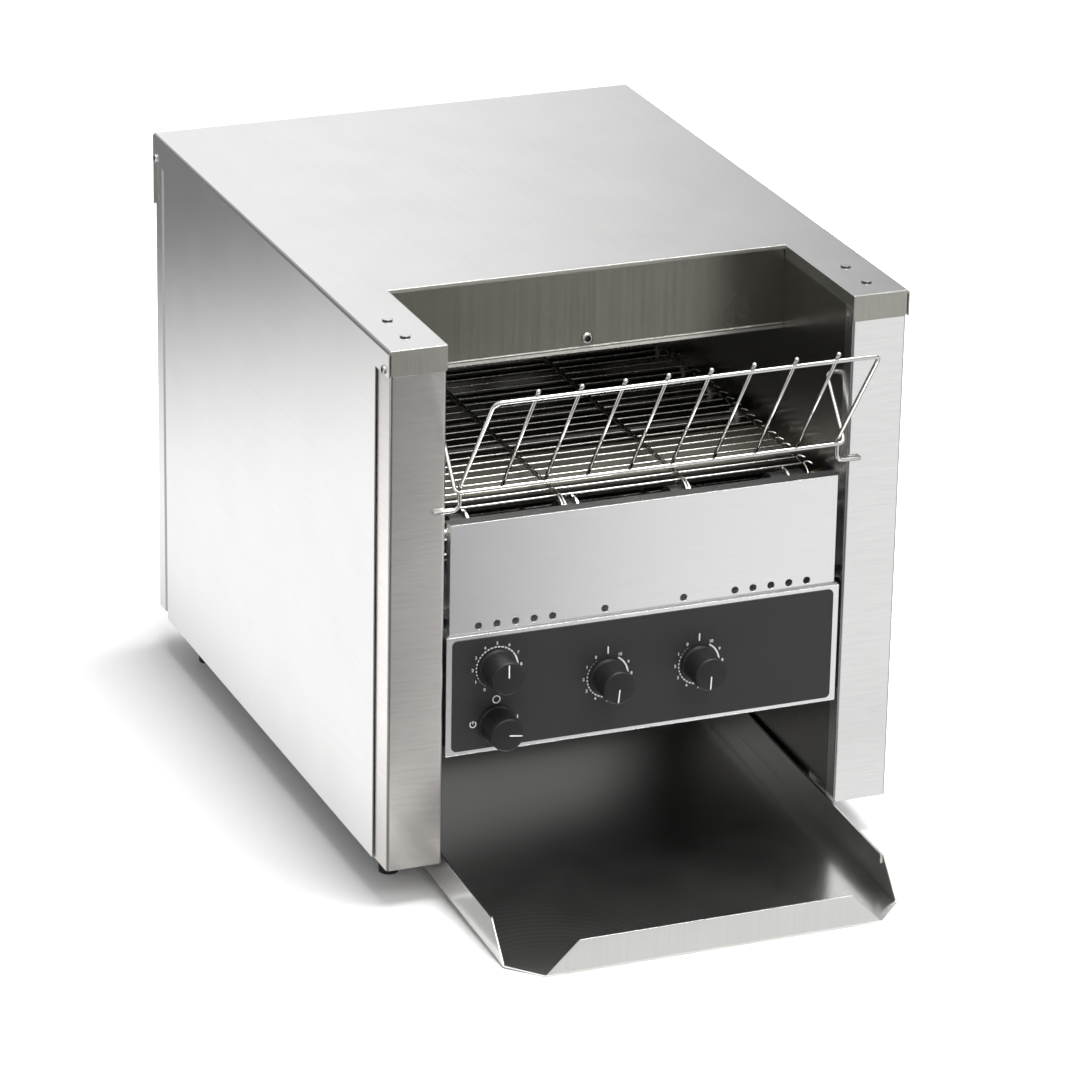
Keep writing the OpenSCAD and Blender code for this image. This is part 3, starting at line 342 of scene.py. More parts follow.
def steelSheet(name, look):
    material, tree, shader = blankMaterial(name)
    strokes = stretchedNoise(tree, look["grain"])
    clouds = stretchedNoise(tree, sheetGrain["clouds"], sheetGrain["detail"])
    colour = blendColours(tree, strokes, darkened(look["tint"], look["strokes"]), look["tint"])
    colour = scaleColour(tree, colour, spread(tree, clouds, 1 - look["clouds"], 1))
    shiniest, dullest = look["rough"] - sheetGrain["shinier"], look["rough"] + sheetGrain["duller"]
    rough = spread(tree, clouds, shiniest, dullest)
    # painted shade: faces that look forwards are drawn darker and warmer
    if "forwardShade" in look:
        forwards = facesForwards(tree, forwardShadeLook)
        colour = scaleColour(tree, colour, apronTone(tree, look["forwardShade"], forwards, forwardShadeLook))
        colour = warmer(tree, colour, forwards, forwardShadeLook)
        rough = combine(tree, "ADD", rough, combine(tree, "MULTIPLY", forwards, forwardShadeLook["rough"]))
    # painted shade along the bends
    if "bend" in look:
        colour = scaleColour(tree, colour, bendTone(tree, look["bend"]))
    # painted light and shade up the sheet
    if "pillarLightAndShade" in look:
        colour = scaleColour(tree, colour, blushTone(tree, pillarLightAndShadeLook))
    # painted highlight on the hem and painted shade in its crease
    if "hem" in look:
        colour = hemColour(tree, colour, hemHighlightLook)
    # painted reflection of faint rings
    if "ringReflection" in look:
        colour = scaleColour(tree, colour, swirlTone(tree, ringReflectionLook))
    tree.links.new(colour, shader.inputs["Base Color"])
    tree.links.new(rough, shader.inputs["Roughness"])
    shader.inputs["Metallic"].default_value = 1.0
    normal = bumpOver(tree, strokes, sheetGrain["bump"], sheetGrain["depth"], look["edge"] * mm)
    tree.links.new(normal, shader.inputs["Normal"])
    return material


steels = {name: steelSheet(name, look) for name, look in steelLooks.items()}
print("steel sheets made:", len(steels))


# a warm grey plate that light from the opening reaches

bafflePlate = {
    "tint": (0.19, 0.175, 0.147),
    "shade": 0.14,
    "rough": 0.42,
    "patches": 0.05,
    "metal": 0.35,
    "grain": (30, 30, 30),
    "bump": (0.05, 0.0002),
    "darkerFront": (111.0, 116.0),  # darker in front of this
    "darkerFrontTone": 0.10,
}


def bakedPlate(name, look):
    material, tree, shader = blankMaterial(name)
    clouds = stretchedNoise(tree, look["grain"])
    start, end = (spot(0, y, 0).y for y in look["darkerFront"])
    darkerFront = spread(tree, placeAxes(tree)["Y"], look["darkerFrontTone"], 1, start, end)
    colour = blendColours(tree, clouds, darkened(look["tint"], look["shade"]), look["tint"])
    tree.links.new(scaleColour(tree, colour, darkerFront), shader.inputs["Base Color"])
    roughAround(tree, shader, clouds, look["rough"], look["patches"], look["patches"])
    shader.inputs["Metallic"].default_value = look["metal"]
    tree.links.new(bumpOver(tree, clouds, *look["bump"]), shader.inputs["Normal"])
    return material


steels["warmPlate"] = bakedPlate("warmPlate", bafflePlate)


# bars, wires and castings

barLooks = {
    "beltWire": {"tint": (0.66, 0.645, 0.61), "rough": 0.24, "spots": 260, "rim": 0.25},
    "rackWire": {"tint": (0.72, 0.71, 0.69), "rough": 0.12, "spots": 120, "rim": 0.05},
    "groundSteel": {"tint": (0.62, 0.62, 0.62), "rough": 0.22, "spots": 400},
    "discSteel": {"tint": (0.84, 0.83, 0.81), "rough": 0.26, "spots": 300},
    "sprocketSteel": {"tint": (0.28, 0.28, 0.29), "rough": 0.38, "spots": 300},
    "chainSteel": {"tint": (0.24, 0.23, 0.22), "rough": 0.34, "spots": 300},
    "elementSheath": {"tint": (0.12, 0.115, 0.11), "rough": 0.48, "spots": 200},
    "screwSteel": {"tint": (0.66, 0.65, 0.63), "rough": 0.14, "spots": 300, "rim": 0.2},
    # painted shade for the screws' recesses
    "recessShadeSteel": {"tint": (0.05, 0.05, 0.05), "rough": 0.40, "spots": 300},
    # wall: painted shade on the buttons' sides
    "buttonSteel": {"tint": (0.84, 0.84, 0.83), "rough": 0.22, "spots": 300, "wall": 0.06},
    "bushBronze": {"tint": (0.55, 0.38, 0.18), "rough": 0.36, "spots": 500},
}
barGrain = {
    "shade": 0.14,
    "duller": 0.06,
    "shinier": 0.03,
    "bump": (0.05, 0.0001),
    "rim": 1.0,  # how bright the metal stays at a glancing angle, where its own look doesn't say
    "upwards": (0.5, 0.8),  # a wall is a face that looks up less than this
}


def metalBar(name, look):
    material, tree, shader = blankMaterial(name)
    spots = stretchedNoise(tree, (look["spots"],) * 3)
    colour = blendColours(tree, spots, darkened(look["tint"], barGrain["shade"]), look["tint"])
    # painted shade on faces that look up little
    if "wall" in look:
        wallShadeFactor = spread(tree, faceAxes(tree)["Z"], look["wall"], 1, *barGrain["upwards"])
        colour = scaleColour(tree, colour, wallShadeFactor)
    tree.links.new(colour, shader.inputs["Base Color"])
    roughAround(tree, shader, spots, look["rough"], barGrain["shinier"], barGrain["duller"])
    shader.inputs["Metallic"].default_value = 1.0
    rim = look.get("rim", barGrain["rim"])
    shader.inputs["Specular Tint"].default_value = (rim, rim, rim, 1)
    tree.links.new(bumpOver(tree, spots, *barGrain["bump"]), shader.inputs["Normal"])
    return material


bars = {name: metalBar(name, look) for name, look in barLooks.items()}


# plastics, rubber, ceramic and print

def grey(tone):
    return (tone, tone, tone)


plasticLooks = {
    "knobPlastic": {"tint": grey(0.013), "rough": 0.46, "spots": 3000, "bump": 0.08, "shine": 0.32},
    "overlayFilm": {"tint": (0.027, 0.027, 0.0275), "rough": 0.55, "spots": 2400, "bump": 0.04,
                    "shine": 0.3},
    "hubBlack": {"tint": grey(0.022), "rough": 0.40, "spots": 900, "bump": 0.08, "shine": 0.4},
    "motorBlack": {"tint": (0.03, 0.03, 0.032), "rough": 0.45, "spots": 900, "bump": 0.10, "shine": 0.5},
    "fanPlastic": {"tint": grey(0.020), "rough": 0.50, "spots": 1500, "bump": 0.08, "shine": 0.5},
    "unitPlastic": {"tint": (0.05, 0.05, 0.052), "rough": 0.48, "spots": 1200, "bump": 0.08, "shine": 0.5},
    "unitIvory": {"tint": (0.66, 0.62, 0.52), "rough": 0.50, "spots": 1200, "bump": 0.08, "shine": 0.5},
    "boardGreen": {"tint": (0.03, 0.16, 0.06), "rough": 0.36, "spots": 700, "bump": 0.06, "shine": 0.5},
    "glandPlastic": {"tint": grey(0.016), "rough": 0.46, "spots": 1500, "bump": 0.08, "shine": 0.5},
    "footRubber": {"tint": grey(0.022), "rough": 0.62, "spots": 1200, "bump": 0.16, "shine": 0.4},
    "insulatorClay": {"tint": (0.72, 0.69, 0.6), "rough": 0.7, "spots": 900, "bump": 0.14, "shine": 0.4},
    "whiteInk": {"tint": (0.80, 0.80, 0.79), "rough": 0.55, "spots": 2500, "bump": 0.03, "shine": 0.3},
    "greyInk": {"tint": grey(0.36), "rough": 0.55, "spots": 2500, "bump": 0.03, "shine": 0.3},
}
plasticGrain = {
    "detail": 2.0,
    "shade": 0.12,
    "duller": 0.06,
    "shinier": 0.04,
    "depth": 0.0001,
    "edge": 0.4,  # rounding of edges, in millimetres
}


def plastic(name, look):
    material, tree, shader = blankMaterial(name)
    grain = plasticGrain
    spots = stretchedNoise(tree, (look["spots"],) * 3, grain["detail"])
    colour = blendColours(tree, spots, darkened(look["tint"], grain["shade"]), look["tint"])
    tree.links.new(colour, shader.inputs["Base Color"])
    roughAround(tree, shader, spots, look["rough"], grain["shinier"], grain["duller"])
    shader.inputs["Specular IOR Level"].default_value = look["shine"]
    normal = bumpOver(tree, spots, look["bump"], grain["depth"], grain["edge"] * mm)
    tree.links.new(normal, shader.inputs["Normal"])
    return material


plastics = {name: plastic(name, look) for name, look in plasticLooks.items()}
finishes = {**steels, **bars, **plastics}
print("other finishes made:", len(bars) + len(plastics))


# which finish each CAD node wears

wears = {
    "coverSteel": ["outer_cover", "rear_panel"],
    "warmPillarSteel": ["left_pillar"],
    "pillarSteel": ["right_pillar"],
    "shadedHoodSteel": ["hood_panel"],
    "wallSteel": ["left_inner_wall", "right_inner_wall"],
    "linerSteel": ["lower_reflector", "upper_reflector"],
    "warmPlate": ["belt_baffle"],
    "panelSteel": ["front_deflector", "control_frame"],
    "traySteel": ["toast_tray"],
    "slideSteel": ["toast_slide"],
    "galvanisedSheet": ["base_pan", "control_box", "heat_shield", "tray_runners"],
    "beltWire": ["conveyor_belt"],
    "rackWire": ["feed_rack"],
    "groundSteel": ["drive_shaft", "idler_shaft", "motor_shaft", "speed_spindle", "mode_spindle",
                    "top_heat_spindle", "bottom_heat_spindle"],
    "discSteel": ["drive_discs", "idler_discs"],
    "sprocketSteel": ["shaft_sprocket", "motor_sprocket"],
    "chainSteel": ["drive_chain"],
    "elementSheath": ["upper_elements", "lower_elements"],
    "screwSteel": ["cover_screws", "arm_buttons", "hood_screw"],
    "bushBronze": ["shaft_bearings"],
    "knobPlastic": ["speed_knob", "mode_knob", "top_heat_knob", "bottom_heat_knob"],
    "overlayFilm": ["control_overlay"],
    "hubBlack": ["drive_hubs", "idler_hubs"],
    "motorBlack": ["gear_motor"],
    "fanPlastic": ["fan_frame", "fan_rotor"],
    "unitPlastic": ["mode_switch"],
    "unitIvory": ["top_heat_regulator", "bottom_heat_regulator", "terminal_block"],
    "boardGreen": ["speed_control"],
    "glandPlastic": ["cord_gland"],
    "footRubber": ["feet"],
    "insulatorClay": ["element_insulators"],
}


def dressNodes():
    dressed = 0
    for finish, names in wears.items():
        for name in names:
            mesh = nodes[name].data
            mesh.materials.clear()
            mesh.materials.append(finishes[finish])
            dressed += 1
    bare = sorted(set(nodes) - {n for names in wears.values() for n in names})
    print("nodes dressed:", dressed, "bare:", bare)


dressNodes()


# mesh helpers


def addPiece(name, mesh, finish, body, smooth=True):
    piece = bpy.data.objects.new(name, mesh)
    bpy.context.scene.collection.objects.link(piece)
    mesh.materials.append(finishes[finish])
    if smooth:
        for face in mesh.polygons:
            face.use_smooth = True
    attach(piece, body)
    return piece


def roundOff(points, rounds=2, cut=0.25):
    # cuts the corners of an open line, and keeps its ends
    for _ in range(rounds):
        eased = [points[0]]
        for a, b in zip(points, points[1:]):
            eased.append(a.lerp(b, cut))
            eased.append(a.lerp(b, 1 - cut))
        eased.append(points[-1])
        points = eased
    return points


def bendAt(points, radius, steps=8):
    # an arc of one radius at each inner point
    path = [points[0]]
    for i in range(1, len(points) - 1):
        before, here, after = points[i - 1], points[i], points[i + 1]
        comes = (here - before).normalized()
        goes = (after - here).normalized()
        turn = comes.angle(goes)
        back = radius * math.tan(turn / 2)
        start = here - comes * back
        inward = (goes - comes * comes.dot(goes)).normalized()
        centre = start + inward * radius
        for k in range(steps + 1):
            a = turn * k / steps
            path.append(centre - inward * (radius * math.cos(a)) + comes * (radius * math.sin(a)))
    path.append(points[-1])
    return path


def sweepTube(bm, path, radius, sides, capHeight=0.5):
    # a closed tube along a line of points, with its rings kept from twisting
    heading = (path[1] - path[0]).normalized()
    side = heading.orthogonal().normalized()
    rings = []
    for i, point in enumerate(path):
        if i == 0:
            way = path[1] - path[0]
        elif i == len(path) - 1:
            way = path[-1] - path[-2]
        else:
            way = (path[i] - path[i - 1]).normalized() + (path[i + 1] - path[i]).normalized()
        way.normalize()
        side = (side - way * side.dot(way)).normalized()
        other = way.cross(side)
        rings.append([
            bm.verts.new(point + (side * math.cos(a) + other * math.sin(a)) * radius)
            for a in (2 * math.pi * k / sides for k in range(sides))
        ])
    for low, high in zip(rings, rings[1:]):
        for k in range(sides):
            n = (k + 1) % sides
            bm.faces.new((low[k], low[n], high[n], high[k]))
    for ring, end, way in (
        (rings[0], path[0], path[0] - path[1]),
        (rings[-1], path[-1], path[-1] - path[-2]),
    ):
        tip = bm.verts.new(end + way.normalized() * radius * capHeight)
        for k in range(sides):
            n = (k + 1) % sides
            corners = (ring[k], ring[n], tip) if ring is rings[-1] else (ring[n], ring[k], tip)
            bm.faces.new(corners)


def finishMesh(bm, name):
    bmesh.ops.recalc_face_normals(bm, faces=bm.faces)
    mesh = bpy.data.meshes.new(name)
    bm.to_mesh(mesh)
    bm.free()
    return mesh


# the wire belt: every wire crosses the belt and hooks round the next one at four places

belt = {
    "pitch": 15.24,
    "spans": 30,
    "teeth": 9,
    "noseY": 62.0,
    "topZ": 297.5,
    "wire": 0.9,
    "sides": 6,
    "innerHook": 57.3,
    "outerHook": 171.5,
    # points of a hook: across from its middle, along from this wire (0) or the next one (1), and up
    "innerShape": [
        (-3.0, 0, 0.0, 0.0), (-1.4, 0, 0.8, 0.0), (-1.4, 1, -3.5, 0.3), (-1.4, 1, -0.2, 1.3),
        (-0.28, 1, 1.7, 0.65),
        (1.4, 1, -0.2, 1.3), (1.4, 1, -3.5, 0.3), (1.4, 0, 0.8, 0.0), (3.0, 0, 0.0, 0.0),
    ],
    "outerShape": [
        (-3.5, 0, 0.0, 0.0), (-1.7, 0, 0.8, 0.0), (-1.4, 1, -3.4, 0.2), (-0.9, 1, -0.2, 1.3),
        (1.6, 1, 1.6, 0.65), (3.3, 1, -0.4, 1.3), (6.1, 1, -3.6, 0.2),
    ],
}
belt["r"] = belt["teeth"] * belt["pitch"] / (2 * math.pi)
belt["axleZ"] = belt["topZ"] - belt["r"]
belt["run"] = belt["spans"] * belt["pitch"]


def beltPoint(x, s, lift):
    # a place s millimetres along the belt's loop, from the nose over the top
    r, run = belt["r"], belt["run"]
    arc = math.pi * r
    s = s % (2 * run + 2 * arc)
    tailY = belt["noseY"] + run
    high = r + lift
    if s < run:
        return spot(x, belt["noseY"] + s, belt["axleZ"] + high)
    if s < run + arc:
        a = math.pi / 2 - (s - run) / r
        return spot(x, tailY + high * math.cos(a), belt["axleZ"] + high * math.sin(a))
    if s < 2 * run + arc:
        return spot(x, tailY - (s - run - arc), belt["axleZ"] - high)
    a = 3 * math.pi / 2 - (s - 2 * run - arc) / r
    return spot(x, belt["noseY"] + high * math.cos(a), belt["axleZ"] + high * math.sin(a))


def hookPath(x, shape):
    # out to the next wire, over it and back, in (x, s, lift)
    return [Vector((x + across, wire * belt["pitch"] + along, up)) for across, wire, along, up in shape]


def wireLine():
    # one wire from its middle to its right end
    inner = hookPath(belt["innerHook"], belt["innerShape"])
    outer = hookPath(belt["outerHook"], belt["outerShape"])
    return roundOff([Vector((0, 0, 0))] + inner + outer)


def makeBelt():
    bm = bmesh.new()
    right = wireLine()
    left = [Vector((-p.x, p.y, p.z)) for p in reversed(right)]
    line = left[:-1] + right
    count = 2 * belt["spans"] + belt["teeth"]
    for i in range(count):
        start = i * belt["pitch"]
        path = [beltPoint(p.x, start + p.y, p.z) for p in line]
        sweepTube(bm, path, belt["wire"] * mm, belt["sides"])
    piece = addPiece("beltWires", finishMesh(bm, "beltWires"), "beltWire", "root")
    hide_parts("conveyor_belt")
    print("belt wires:", count)


makeBelt()


# the feed rack: two bent wires and eight rungs

rack = {
    "wire": 1.9,
    "rung": 1.5,
    "sideX": 172.0,
    "armX": 177.0,
    "endX": 194.3,
    "footY": -1.0,
    "railY": -4.6,
    "topY": -76.6,
    "footZ": 322.5,
    "lowZ": 339.5,
    "topZ": 443.5,
    "pivot": (188.0, 35.5, 389.0),
    "bend": 7.0,
    "armBend": 5.0,
    "rungPitch": 38.3,
    "rungs": 8,
    "rungPast": 4.9,
    "rungBelow": 2.0,
    "kneeUp": 2.5,  # how far the outer wire's lower bend lies over the low rail
    "weld": 0.25,  # how deep the rungs sink into the rails
    "ballPast": 0.6,
    "ballRounds": 3,
    "sides": 14,
    "rungSides": 12,
}


def bothHalves(points):
    return points + [Vector((-p.x, p.y, p.z)) for p in reversed(points)]


def rackRails(bm):
    # the outer wire that bread rests on, and the inner one that ends in the pivots
    outerWire = [
        spot(rack["endX"], rack["footY"], rack["footZ"]),
        spot(rack["sideX"], rack["footY"], rack["footZ"]),
        spot(rack["sideX"], rack["footY"], rack["lowZ"] + rack["kneeUp"]),
        spot(rack["sideX"], rack["topY"], rack["topZ"]),
    ]
    armWire = [
        spot(*rack["pivot"]),
        spot(rack["armX"], rack["pivot"][1], rack["pivot"][2]),
        spot(rack["armX"], rack["railY"], rack["lowZ"]),
    ]
    for wire, bend in ((outerWire, rack["bend"]), (armWire, rack["armBend"])):
        sweepTube(bm, bendAt(bothHalves(wire), bend * mm), rack["wire"] * mm, rack["sides"])


def rackRungs(bm):
    # straight wires welded behind both rails, each with a small ball on its upper end
    low = spot(0, rack["railY"], rack["lowZ"])
    high = spot(0, rack["topY"], rack["topZ"])
    lean = (high - low).normalized()
    behind = Vector((1, 0, 0)).cross(lean) * -1
    behind *= (rack["wire"] + rack["rung"] - rack["weld"]) * mm * (1 if behind.y > 0 else -1)
    ballSize = (rack["rung"] + rack["ballPast"]) * mm
    for i in range(rack["rungs"]):
        x = (i - (rack["rungs"] - 1) / 2) * rack["rungPitch"] * mm
        aside = Vector((x, 0, 0)) + behind
        foot = low + aside - lean * rack["rungBelow"] * mm
        tip = high + aside + lean * rack["rungPast"] * mm
        sweepTube(bm, [foot, (foot + tip) / 2, tip], rack["rung"] * mm, rack["rungSides"])
        ballPlace = Matrix.Translation(tip)
        bmesh.ops.create_icosphere(bm, subdivisions=rack["ballRounds"], radius=ballSize, matrix=ballPlace)


def makeRack():
    bm = bmesh.new()
    rackRails(bm)
    rackRungs(bm)
    piece = addPiece("rackWires", finishMesh(bm, "rackWires"), "rackWire", "rack")
    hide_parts("feed_rack")
    print("rack wires made")


makeRack()


# places and turned parts

case = {"halfWidth": 235.0, "height": 469.0}


def onFront(x, y, z):
    # local x across, local y up and local z out of the front, in millimetres
    axes = Matrix(((1, 0, 0, 0), (0, 0, -1, 0), (0, 1, 0, 0), (0, 0, 0, 1)))
    return Matrix.Translation(spot(x, y, z)) @ axes @ Matrix.Scale(mm, 4)


def onSide(side, y, z):
    axes = Matrix(((0, 0, side, 0), (side, 0, 0, 0), (0, 1, 0, 0), (0, 0, 0, 1)))
    return Matrix.Translation(spot(side * case["halfWidth"], y, z)) @ axes @ Matrix.Scale(mm, 4)


def onTop(x, y):
    return Matrix.Translation(spot(x, y, case["height"])) @ Matrix.Scale(mm, 4)


def turnedPart(bm, profile, place, sides, lobes):
    # profile: radius, height and how deep the lobes cut in, from the axis round to the axis
    rings = []
    for radius, height, cut in profile:
        if radius == 0:
            rings.append([bm.verts.new(place @ Vector((0, 0, height)))])
            continue
        ring = []
        for k in range(sides):
            a = 2 * math.pi * k / sides
            r = radius - cut * (0.5 - 0.5 * math.cos(lobes * a))
            ring.append(bm.verts.new(place @ Vector((r * math.cos(a), r * math.sin(a), height))))
        rings.append(ring)
    for low, high in zip(rings, rings[1:]):
        for k in range(sides):
            n = (k + 1) % sides
            if len(low) == 1:
                bm.faces.new((low[0], high[k], high[n]))
            elif len(high) == 1:
                bm.faces.new((low[k], low[n], high[0]))
            else:
                bm.faces.new((low[k], low[n], high[n], high[k]))


def markSharp(mesh, degrees):
    # keeps edges crisp where a smooth part turns by more than this
    mesh.set_sharp_from_angle(angle=math.radians(degrees))


# knobs with a skirt, a faintly ribbed grip and a white pointer

knobs = {
    "speed": {"at": (-135.3, 174.5), "pointer": 90, "body": "speed_dial", "node": "speed_knob"},
    "mode": {"at": (-135.3, 123.0), "pointer": -8, "body": "mode_dial", "node": "mode_knob"},
    "topHeat": {"at": (-34.0, 151.5), "pointer": 264, "body": "top_heat_dial", "node": "top_heat_knob"},
    "bottomHeat": {"at": (50.5, 151.5), "pointer": 267, "body": "bottom_heat_dial",
                   "node": "bottom_heat_knob"},
}
knobShape = {
    "baseY": 0.7,
    # radius, height over the panel, and how deep the ribs cut
    "profile": [
        (0, 0.2, 0), (16.5, 0.2, 0), (17.0, 0.6, 0), (16.9, 1.9, 0), (16.4, 2.7, 0), (15.8, 3.0, 0),
        (15.5, 3.3, 0), (15.45, 4.2, 0.16), (14.9, 25.1, 0.16), (14.8, 25.9, 0), (14.5, 26.7, 0),
        (13.9, 27.3, 0), (13.2, 27.5, 0), (0, 27.5, 0),
    ],
    "ribs": 40,
    "sides": 160,
    "sharp": 50,
    "markWidth": 1.2,
    "markFrom": 1.1,
    "markTo": 13.1,
    "markLow": 27.4,
    "markHigh": 27.55,
}


def stamp(bm, outline, place, low, high):
    # a flat plate with a convex outline, from local height low to high
    rings = [[bm.verts.new(place @ Vector((x, y, h))) for x, y in outline] for h in (low, high)]
    bm.faces.new(rings[0][::-1])
    bm.faces.new(rings[1])
    for k in range(len(outline)):
        n = (k + 1) % len(outline)
        bm.faces.new((rings[0][k], rings[0][n], rings[1][n], rings[1][k]))


def barOutline(start, end, width, steps=6):
    # a bar along local x with round ends
    r = width / 2
    right = [(-90 + 180 * k / steps) for k in range(steps + 1)]
    return (
        [(end - r + r * math.cos(math.radians(a)), r * math.sin(math.radians(a))) for a in right]
        + [(start + r - r * math.cos(math.radians(a)), -r * math.sin(math.radians(a))) for a in right]
    )


def makeKnob(name, look):
    x, z = look["at"]
    place = onFront(x, knobShape["baseY"], z)
    bm = bmesh.new()
    turnedPart(bm, knobShape["profile"], place, knobShape["sides"], knobShape["ribs"])
    mesh = finishMesh(bm, name + "Knob")
    piece = addPiece(name + "Knob", mesh, "knobPlastic", look["body"])
    markSharp(mesh, knobShape["sharp"])
    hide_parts(look["node"])
    bm = bmesh.new()
    turned = place @ Matrix.Rotation(math.radians(look["pointer"]), 4, "Z")
    line = barOutline(knobShape["markFrom"], knobShape["markTo"], knobShape["markWidth"])
    stamp(bm, line, turned, knobShape["markLow"], knobShape["markHigh"])
    mesh = finishMesh(bm, name + "Pointer")
    addPiece(name + "Pointer", mesh, "whiteInk", look["body"], False)


for knobName, knobLook in knobs.items():
    makeKnob(knobName, knobLook)
print("knobs made:", len(knobs))


# print on the overlay: numbers, dashed scales, ticks and the switch's symbols

dialPrint = {
    "y": 1.2,
    "low": -0.02,
    "high": 0.06,
    "scaleR": 18.7,
    "scaleTop": 10,
    "numberR": 22.0,
    "numberSize": 3.9,
    "numberWeight": 0.07,
    "unit": 30,  # degrees from one number to the next
    "dashStep": 10,
    "dashShare": (0.42, 0.72),  # of a step, at the scale's start and once it is at its widest
    "widths": (0.5, 1.5),
    "growsOver": 5,  # numbers
    "dashBends": 3,
    "arcBends": 24,
    "endBends": 2,
}
heatDial = {"zero": 120, "turn": 1, "solidFrom": 8, "tick": (20.6, 28.0), "tickWidth": 1.3}
speedDial = {"zero": 240, "turn": -1, "solidFrom": 7}
switchMarks = {
    "ring": {"at": (-135.4, 145.1), "r": 3.2, "width": 1.1, "arc": (0, 359.9), "bends": 40},
    "power": {"at": (-156.4, 124.9), "r": 2.7, "width": 0.9, "arc": (125, 415), "bends": 28,
              "stroke": (0.2, 3.4)},
    "line": {"at": (-115.9, 126.6), "width": 0.9, "stroke": (-1.8, 1.8)},
}


def inkBand(bm, place, radius, width, start, end, steps):
    # a band along an arc, from one angle to another
    low, high = dialPrint["low"], dialPrint["high"]
    inner, outer = radius - width / 2, radius + width / 2
    section = [(inner, low), (outer, low), (outer, high), (inner, high)]
    rows = []
    for k in range(steps + 1):
        a = math.radians(start + (end - start) * k / steps)
        corners = [Vector((r * math.cos(a), r * math.sin(a), h)) for r, h in section]
        rows.append([bm.verts.new(place @ corner) for corner in corners])
    for near, far in zip(rows, rows[1:]):
        for k in range(len(section)):
            n = (k + 1) % len(section)
            bm.faces.new((near[k], near[n], far[n], far[k]))
    bm.faces.new(rows[0][::-1])
    bm.faces.new(rows[-1])


def inkBar(bm, place, start, end, width):
    # a bar that stands upright on the panel
    upright = place @ Matrix.Rotation(math.pi / 2, 4, "Z")
    outline = barOutline(start, end, width, dialPrint["endBends"])
    stamp(bm, outline, upright, dialPrint["low"], dialPrint["high"])


def inkNumber(bm, words, place):
    data = bpy.data.curves.new("number", "FONT")
    data.body = words
    data.size = dialPrint["numberSize"]
    data.offset = dialPrint["numberWeight"]
    data.extrude = dialPrint["high"]
    data.align_x = "CENTER"
    data.align_y = "CENTER"
    text = bpy.data.objects.new("number", data)
    bpy.context.scene.collection.objects.link(text)
    mesh = bpy.data.meshes.new_from_object(text.evaluated_get(bpy.context.evaluated_depsgraph_get()))
    mesh.transform(place)
    bm.from_mesh(mesh)
    bpy.data.meshes.remove(mesh)
    bpy.data.objects.remove(text)
    bpy.data.curves.remove(data)


def numberPlace(x, z, angle):
    r = dialPrint["numberR"]
    a = math.radians(angle)
    return onFront(x + r * math.cos(a), dialPrint["y"], z + r * math.sin(a))


def inkDash(bm, place, dial, k):
    step, (thin, bold) = dialPrint["dashStep"], dialPrint["widths"]
    grown = min(1.0, k / (dialPrint["growsOver"] * dialPrint["unit"]))
    first, last = dialPrint["dashShare"]
    dash = step * (first + (last - first) * grown)
    middle = dial["zero"] + dial["turn"] * (k + step / 2)
    width = thin + (bold - thin) * grown
    start, end = middle - dash / 2, middle + dash / 2
    inkBand(bm, place, dialPrint["scaleR"], width, start, end, dialPrint["dashBends"])


def inkScale(bright, faint, at, dial):
    # numbers, a dashed arc that grows, a solid arc at its end, and on some dials a tick on top
    x, z = at
    place = onFront(x, dialPrint["y"], z)
    unit, last = dialPrint["unit"], dialPrint["scaleTop"]
    for number in range(last + 1):
        angle = dial["zero"] + dial["turn"] * number * unit
        inkNumber(bright, str(number), numberPlace(x, z, angle))
    solid = dial["solidFrom"] * unit
    for k in range(0, solid, dialPrint["dashStep"]):
        inkDash(faint if k < unit else bright, place, dial, k)
    start, end = (dial["zero"] + dial["turn"] * angle for angle in (solid, last * unit))
    inkBand(bright, place, dialPrint["scaleR"], dialPrint["widths"][1], start, end, dialPrint["arcBends"])
    if "tick" in dial:
        inkBar(bright, place, *dial["tick"], dial["tickWidth"])


def inkSymbols(bm):
    for mark in switchMarks.values():
        x, z = mark["at"]
        place = onFront(x, dialPrint["y"], z)
        if "arc" in mark:
            inkBand(bm, place, mark["r"], mark["width"], *mark["arc"], mark["bends"])
        if "stroke" in mark:
            inkBar(bm, place, *mark["stroke"], mark["width"])


def makeDialPrint():
    bright, faint = bmesh.new(), bmesh.new()
    inkScale(bright, faint, knobs["speed"]["at"], speedDial)
    inkScale(bright, faint, knobs["topHeat"]["at"], heatDial)
    inkScale(bright, faint, knobs["bottomHeat"]["at"], heatDial)
    inkSymbols(bright)
    addPiece("dialPrint", finishMesh(bright, "dialPrint"), "whiteInk", "root", False)
    addPiece("dialPrintFaint", finishMesh(faint, "dialPrintFaint"), "greyInk", "root", False)
    print("dial print made")


makeDialPrint()


# screws with a domed head and a six-lobed recess, and the low buttons on the arms

screws = {
    "sides": [(11.0, 450.0), (610.0, 448.0)],
    "hood": (0.0, 143.2, 404.5),
    "hoodScale": 1.3,  # the hood's head is larger than those at the sides
    "lobes": 6,
    "facets": 48,
    "sharp": 40,
    "recessBands": 3,  # the last rings of the profile lie in the recess
    # radius, height, and how deep the lobes cut
    "profile": [
        (0, -8.0, 0), (2.0, -8.0, 0), (2.0, 0, 0), (3.9, 0, 0), (4.0, 0.3, 0), (3.85, 1.0, 0),
        (3.3, 1.55, 0), (2.7, 1.9, 0), (2.3, 1.9, 0), (2.1, 1.8, 0.6), (2.0, 0.3, 0.6), (0, 0.2, 0),
    ],
}
buttons = {
    "x": 209.0,
    "ys": [31.5, 73.5],
    "profile": [
        (0, -8.0, 0), (2.0, -8.0, 0), (2.0, 0, 0), (4.4, 0, 0), (4.6, 1.1, 0), (4.45, 1.3, 0), (0, 1.3, 0),
    ],
}


